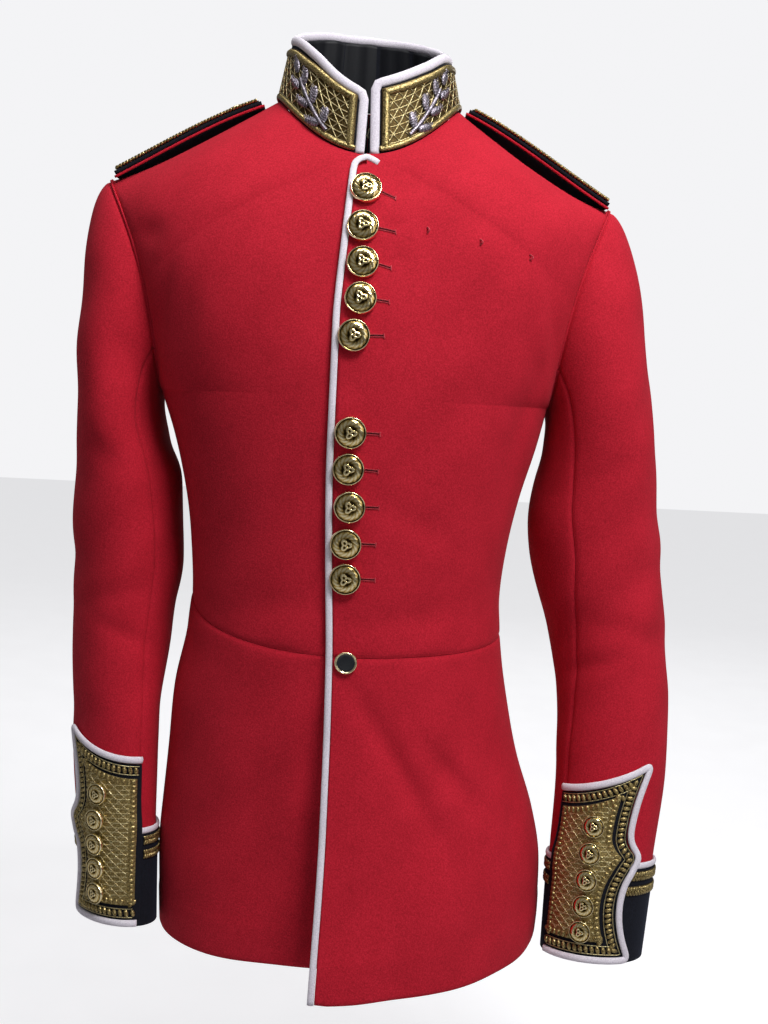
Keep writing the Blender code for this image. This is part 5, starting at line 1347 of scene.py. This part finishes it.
def gilt(name):
    """Gilt brass: pale and bright on the raised work, with brown tarnish left in the hollows."""
    material, tree, place = new_finish(name, {"Metallic": 1.0, "Roughness": 0.15})
    depth = add(tree, "ShaderNodeAttribute", attribute_name="raised")
    wear = add(tree, "ShaderNodeTexNoise", {"Vector": place, "Scale": 1000 / 1.5, "Detail": 3.0})
    worn_in = add(tree, "ShaderNodeMath", {0: wear.outputs["Fac"], 1: 0.35, 2: depth.outputs["Fac"]},
                  operation="MULTIPLY_ADD")
    colour = blended(tree, worn_in.outputs[0], (0.20, "#2e2310"), (0.50, "#cfae62"), (0.84, "#fbecbc"))
    coloured(tree, colour, wear.outputs["Fac"], 0.25, 0.0002)
    return material


GILT = gilt("gilt_struck_brass")


def wreath(share, angle):
    """Relief of a button's face, from 0 to 1: a wreath of slanting leaves round a threefold knot, and a rim."""
    leaf = 0.5 + 0.5 * np.cos(angle * 13 + share * 24)
    leaves = np.clip(1.3 - np.abs(share - 0.63) / 0.18, 0, 1) * (0.25 + 0.75 * leaf)
    loop = 0.24 * (1 + 0.40 * np.cos(angle * 3))
    knot = np.clip(1.4 - np.abs(share - loop) / 0.07, 0, 1)
    heart = np.clip(1.3 - share / 0.08, 0, 1)
    rim = ease(share, 0.90, 0.93)
    return np.clip(np.maximum.reduce([leaves, knot, heart, rim]), 0, 1)


def ring_faces(rows, around):
    """Faces between rings of points that follow one another, and one that closes the last ring."""
    faces = [(i * around + j, (i + 1) * around + j, (i + 1) * around + (j + 1) % around, i * around + (j + 1) % around)
             for i in range(rows - 1) for j in range(around)]
    return faces + [[(rows - 1) * around + j for j in range(around)][::-1]]


def button_mesh(name, points, faces, raised, *finishes):
    """A button's mesh, with how far each point is raised, which the gilt follows."""
    mesh = bpy.data.meshes.new(name)
    mesh.from_pydata(points, [], faces)
    field = mesh.attributes.new("raised", "FLOAT", "POINT")
    field.data.foreach_set("value", np.asarray(raised, dtype=np.float32))
    for finish in finishes:
        mesh.materials.append(finish)
    mesh.shade_smooth()
    return mesh


def struck_button(name, place, normal, radius, height, around=48, relief=0.00055):
    """A domed button with its relief, on its seat, its face turned along the normal."""
    face_shares = np.concatenate((np.linspace(0.04, 0.90, 20), (0.93, 0.97)))
    dome_height = height * (0.34 + 0.66 * np.sqrt(np.clip(1 - (face_shares / 1.02) ** 2, 0, 1)))
    rim_lift = ease(face_shares, 0.86, 0.92) * height * 0.10
    angles = 2 * math.pi * np.arange(around) / around
    share, angle = np.meshgrid(face_shares, angles, indexing="ij")
    raised = wreath(share, angle)
    z = (dome_height + rim_lift)[:, None] + (raised - 1) * relief
    rings = [(radius * share * np.cos(angle), radius * share * np.sin(angle), z, raised)]
    ones = np.ones((1, around))
    for share, rise in BUTTON_BACK:
        rings.append((radius * share * np.cos(angles)[None], radius * share * np.sin(angles)[None],
                      height * rise * ones, 0.8 * ones))
    x, y, z, raised = (np.concatenate([ring[k] for ring in rings]) for k in range(4))
    turned = np.array(Vector(normal).to_track_quat("Z", "Y").to_matrix())
    points = np.stack((x, y, z), axis=-1) @ turned.T + np.asarray(place)
    top = np.asarray(place) + turned @ np.array((0, 0, height - relief * 0.2))
    faces = ring_faces(len(points), around) + [(points[..., 0].size, j, (j + 1) % around) for j in range(around)]
    points = points.reshape(-1, 3).tolist() + [top.tolist()]
    return placed(name, button_mesh(name, points, faces, np.append(raised, 1.0), GILT))


def seat(point_at, radius, around=8):
    """Where a button of that radius lies clear on a surface, and its normal: point_at gives the points round it."""
    here, out = point_at(0.0, 0.0, 0.0), point_at(0.0, 0.0, 0.01)
    normal = (out - here) / np.linalg.norm(out - here)
    turns = [2 * math.pi * k / around for k in range(around)]
    rim = [point_at(radius * math.cos(t), radius * math.sin(t), 0.0) for t in turns]
    highest = max([0.0] + [float(np.dot(point - here, normal)) for point in rim])
    return here + normal * (highest + LAY), normal


for number, (x, z) in enumerate(FRONT_BUTTONS, 1):
    def round_button(dx, dz, distance):
        return on_front(1, dx - x, z + dz, distance)[0]

    place, normal = seat(round_button, LARGE_BUTTON[0])
    piece = struck_button(f"gilt_front_button_{number}", place, normal, *LARGE_BUTTON)
    sewn_on(piece, f"front_button_{number}")

for side, name in SIDE_NAMES.items():
    for number, height in enumerate(FLAP_BUTTONS, 1):
        def round_flap_button(dx, dz, distance):
            z = height + dz
            above = flap_layer(z) + CLOTH + PANEL_RAISE + 0.0006 + distance
            return on_sleeve(side, [FLAP_BUTTON_REACH + dx], [z], [above])[0]

        place, normal = seat(round_flap_button, SMALL_BUTTON[0])
        piece = struck_button(f"gilt_cuff_button_{name}_{number}", place, normal, *SMALL_BUTTON, around=40)
        sewn_on(piece, f"cuff_button_{name}_{number}")

    def round_strap_button(dx, dz, distance):
        board = STRAP_LAYERS[0][4] + LAY + STRAP_LAYERS[1][4]
        x = STRAP_ENDS[side][1] + STRAP_BUTTON_INSET + dx
        return strap_point(side, x, dz / STRAP_HALF_WIDTHS[1], board + distance)

    place, normal = seat(round_strap_button, SMALL_BUTTON[0])
    piece = struck_button(f"gilt_strap_button_{name}", place, normal, *SMALL_BUTTON, around=40)
    sewn_on(piece, f"strap_button_{name}")

# ==== Waist button ====
# A plain button on the waist seam: a flat face of dark enamel held in a turned gilt rim.
PLAIN_BUTTON = (0.0092, 0.0034)  # radius, height
WAIST_BUTTON = (0.0024, -0.4610)  # past the centre line, height
# From the middle of the face to the back: shares of the radius and height, enamelled or not
PLAIN_PROFILE = ((0.0, 0.70, 1), (0.60, 0.70, 1), (0.80, 0.66, 1), (0.84, 0.80, 0), (0.88, 0.96, 0), (0.93, 0.96, 0),
                 (0.98, 0.70, 0), (1.0, 0.40, 0), (0.95, 0.0, 0))
# Stoved enamel: smooth and glossy, faintly clouded in its depth
ENAMEL, tree, place = new_finish("black_enamel", {"Roughness": 0.22, "Coat Weight": 0.5})
glint_and_cloud_noise = add(tree, "ShaderNodeTexNoise", {"Vector": place, "Scale": 1000 / 2.0, "Detail": 2.0})
coloured(tree, blended(tree, glint_and_cloud_noise.outputs["Fac"], (0.3, "#14161a"), (0.7, "#23262b")))


def round_waist_button(dx, dz, distance):
    return on_front(1, dx - WAIST_BUTTON[0], WAIST_BUTTON[1] + dz, distance)[0]


place, normal = seat(round_waist_button, PLAIN_BUTTON[0])
radius, height = PLAIN_BUTTON
around = 48
turned = np.array(Vector(normal).to_track_quat("Z", "Y").to_matrix())
points = []
for share, rise, _ in PLAIN_PROFILE:
    points += [place + turned @ np.array((radius * share * math.cos(t), radius * share * math.sin(t), height * rise))
               for t in 2 * math.pi * np.arange(around) / around]
mesh = button_mesh("plain_waist_button", [point.tolist() for point in points], ring_faces(len(PLAIN_PROFILE), around),
                   np.full(len(points), 0.8), GILT, ENAMEL)
mesh.polygons.foreach_set("material_index", np.append(np.repeat([row[2] for row in PLAIN_PROFILE[1:]], around), 0))
bm = bmesh.new()
bm.from_mesh(mesh)
bmesh.ops.remove_doubles(bm, verts=bm.verts, dist=0.00001)
bm.to_mesh(mesh)
bm.free()
mesh.shade_smooth()
sewn_on(placed("plain_waist_button", mesh), "waist_button")

# ==== Buttonholes, medal loops and the collar's hook ====
# Each buttonhole is a slit whipped with red silk twist and barred at its end. Three small loops of the same thread
# on the left breast take a medal bar, and a wire hook and eye close the collar's foot.
# The outer end of each buttonhole, and the medal loops: past the centre line, height
HOLE_ENDS = ((0.0240, -0.0925), (0.0252, -0.1200), (0.0228, -0.1485), (0.0225, -0.1748), (0.0199, -0.2012),
             (0.0205, -0.2772), (0.0205, -0.3062), (0.0225, -0.3352), (0.0215, -0.3648), (0.0225, -0.3932))
MEDAL_LOOPS = ((0.0498, -0.1165), (0.0921, -0.1234), (0.1331, -0.1311))
PURL_STITCH = {"Length": 0.0009, "Width": 0.0013, "Height": 0.0012, "Slant": 0.2}
PURL_PITCH, HALF_HOLE, HALF_BAR = 0.0008, 0.0009, 0.0019
LOOP_HEIGHT, LOOP_BOW, LOOP_STAND = 0.0052, 0.0012, 0.0022  # a loop's length, sideways bow and stand above the cloth
SILK = woollen("red_silk_twist", ("#8f1724", "#b8303e", "#cc4a55"), 0.8, 0.3, 0.3, "#ffc0c0", roughness=0.55)
SILK_STITCHES = stitch_tree("silk_purl_stitches", SILK, segments=6, rings=4)
SILK_WIRES = wire_tree("silk_threads", SILK)
# A near-black red wire laid down each slit: painted shadow in the cut
SLIT_WIRES = wire_tree("dark_slits", woollen("slit_shadow_silk", ("#2c060c", "#3d0a12"), 0.8, 0.2, 0.0, "#ffffff"))


def row_at(x, z):
    """The row of the left front that passes through a height at that x: rows drop toward the side."""
    row = z
    for _ in range(4):
        row += z - on_front(1, -x, row, 0.0)[0][2]
    return row


def on_left_front(x, row, distance):
    """A point of the left front by x and row, moved out."""
    return on_front(1, -x, row, distance)[0]


parts = []
for (button_x, button_z), (end_x, end_z) in zip(FRONT_BUTTONS, HOLE_ENDS):
    start_x = button_x + LARGE_BUTTON[0] - 0.003
    start = np.array((start_x, row_at(start_x, button_z)))
    end = np.array((end_x, row_at(end_x, end_z)))
    ahead = (end - start) / np.linalg.norm(end - start)
    beside = np.array((-ahead[1], ahead[0]))
    for offset in (-HALF_HOLE, HALF_HOLE):
        count = max(3, int(np.linalg.norm(end - start) / PURL_PITCH))
        flat = [start + beside * offset + (end - start) * share for share in np.linspace(0, 1, count)]
        here = np.array([on_left_front(*f, 0.0002) for f in flat])
        out = np.array([on_left_front(*f, 0.01) for f in flat])
        parts.append(sewn_row(here, out, SILK_STITCHES, **PURL_STITCH))
    slit = [start + (end - start) * share for share in np.linspace(0, 0.97, 6)]
    # the slit's dark wire is painted shadow in the cut
    parts.append(wired([[on_left_front(*f, 0.0001) for f in slit]], SLIT_WIRES, 0.0004))
    bar = [end + beside * offset for offset in np.linspace(-HALF_BAR, HALF_BAR, 6)]
    parts.append(wired([[on_left_front(*f, 0.0005) for f in bar]], SILK_WIRES, 0.00055))
for x, z in MEDAL_LOOPS:
    loop, row = [], row_at(x, z)
    for share in np.linspace(0, 1, 11):
        bow = math.sin(math.pi * share)
        loop.append(on_left_front(x + LOOP_BOW * bow, row + LOOP_HEIGHT * (0.5 - share), 0.0004 + LOOP_STAND * bow))
    parts.append(wired([loop], SILK_WIRES, 0.00065))
sewn_on(merged("buttonholes_and_medal_loops", parts))

# Drawn steel, brass-lacquered: a soft warm glint
LACQUERED_STEEL, tree, _ = new_finish("lacquered_steel_wire", {"Metallic": 1.0, "Roughness": 0.35})
flecks = add(tree, "ShaderNodeTexNoise", {"Scale": 1000 / 0.8})
coloured(tree, blended(tree, flecks.outputs["Fac"], (0.3, "#4a4438"), (0.7, "#8d836c")))
HOOK_WIRES = wire_tree("hook_wires", LACQUERED_STEEL)
HOOK_UP = 0.30  # share of the collar's height
HOOK_DEPTH = 0.0012  # the hook and eye lie this far inside the collar's outer face
eye = []
for share in np.linspace(0, 1, 13):
    angle = math.radians(-60 + 300 * share)
    turn = float(front_turn(HOOK_UP, -0.0004)) - 1.3 * math.cos(angle)
    eye.append(on_collar(np.array([turn]), np.array([HOOK_UP + 0.055 * math.sin(angle)]), -HOOK_DEPTH)[0])
hook = [on_collar(np.array([360 - float(front_turn(HOOK_UP, 0.001)) + 2.4 * share]), np.array([HOOK_UP]),
                  HOOK_DEPTH * (math.sin(math.pi * share) - 1))[0] for share in np.linspace(0, 1, 9)]
piece = wired([eye, hook], HOOK_WIRES, 0.00045, name="collar_hook_and_eye")
sewn_on(piece)

# ==== Floor, light and camera ====
# A pale floor well below the hem, broad soft lights in front and above, and the camera a good metre in front.
FLOOR_Z, FLOOR_HALF = -0.98, 9
CAMERA_AT = (0.0, -1.05, -0.2585)
CAMERA_YAW, CAMERA_PITCH, CAMERA_ROLL = 1.65, 4.9, 2.87  # degrees toward +X, down, and clockwise
CAMERA_LENS = 41.6  # millimetres, on a sensor 36 mm tall
BACKDROP = "#f6f6f8"
PAPER_GLOW = 0.72  # how white the paper is to the eye, though it casts no light
SKY_SEEN, SKY_LIGHT = 0.80, 0.18  # the backdrop is brighter to the eye than the light it gives
# Matt seamless paper: no gloss, the faintest tooth
PAPER, tree, _ = new_finish("pale_paper_sweep", {"Roughness": 0.95, "Emission Color": linear(BACKDROP)})
tooth = add(tree, "ShaderNodeTexNoise", {"Scale": 1000 / 5})
coloured(tree, blended(tree, tooth.outputs["Fac"], (0.3, "#bcbcbe"), (0.7, "#c4c4c6")))
seen = add(tree, "ShaderNodeLightPath").outputs["Is Camera Ray"]
white = add(tree, "ShaderNodeMath", {0: seen, 1: PAPER_GLOW}, operation="MULTIPLY")
tree.links.new(white.outputs[0], tree.nodes["Principled BSDF"].inputs["Emission Strength"])
mesh = bpy.data.meshes.new("floor")
corners = ((-1, -1), (1, -1), (1, 1), (-1, 1))
mesh.from_pydata([(x * FLOOR_HALF, y * FLOOR_HALF, FLOOR_Z) for x, y in corners], [], [(0, 1, 2, 3)])
mesh.materials.append(PAPER)
placed("floor", mesh)

# Name, place, size, power in watts, height on the centre line that it is aimed at
LIGHTS = (("key_light", (0.60, -1.00, 1.05), 0.6, 27.0, 0.08), ("fill_light", (1.7, -1.3, 0.3), 1.2, 4.5, -0.20),
          ("top_light", (-0.2, -0.3, 1.5), 0.9, 10.0, -0.10), ("rim_light", (0.5, 2.2, 1.0), 1.6, 12.0, -0.30))
for label, place, size, power, aim in LIGHTS:
    lamp = bpy.data.lights.new(label, "AREA")
    lamp.size, lamp.energy = size, power
    light = placed(label, lamp)
    light.location = place
    light.rotation_euler = (Vector((0, 0, aim)) - Vector(place)).to_track_quat("-Z", "Y").to_euler()
world = bpy.data.worlds.new("studio")
world.use_nodes = True
sky = world.node_tree.nodes["Background"]
sky.inputs["Color"].default_value = linear(BACKDROP)
seen = add(world.node_tree, "ShaderNodeLightPath").outputs["Is Camera Ray"]
shine = add(world.node_tree, "ShaderNodeMath", {0: seen, 1: SKY_SEEN, 2: SKY_LIGHT}, operation="MULTIPLY_ADD")
world.node_tree.links.new(shine.outputs[0], sky.inputs["Strength"])
bpy.context.scene.world = world
bpy.context.scene.view_settings.view_transform = "Standard"

yaw, pitch, roll = (math.radians(a) for a in (CAMERA_YAW, CAMERA_PITCH, CAMERA_ROLL))
ahead = Vector((math.sin(yaw), math.cos(yaw), 0))
right, up = Vector((math.cos(yaw), -math.sin(yaw), 0)), Vector((0, 0, 1))
ahead, up = math.cos(pitch) * ahead - math.sin(pitch) * up, math.sin(pitch) * ahead + math.cos(pitch) * up
right, up = math.cos(roll) * right + math.sin(roll) * up, math.cos(roll) * up - math.sin(roll) * right
lens = bpy.data.cameras.new("camera")
lens.lens, lens.sensor_fit, lens.sensor_height = CAMERA_LENS, "VERTICAL", 36.0
camera = placed("camera", lens)
camera.matrix_world = Matrix.Translation(CAMERA_AT) @ Matrix((right, up, -ahead)).transposed().to_4x4()
bpy.context.scene.camera = camera
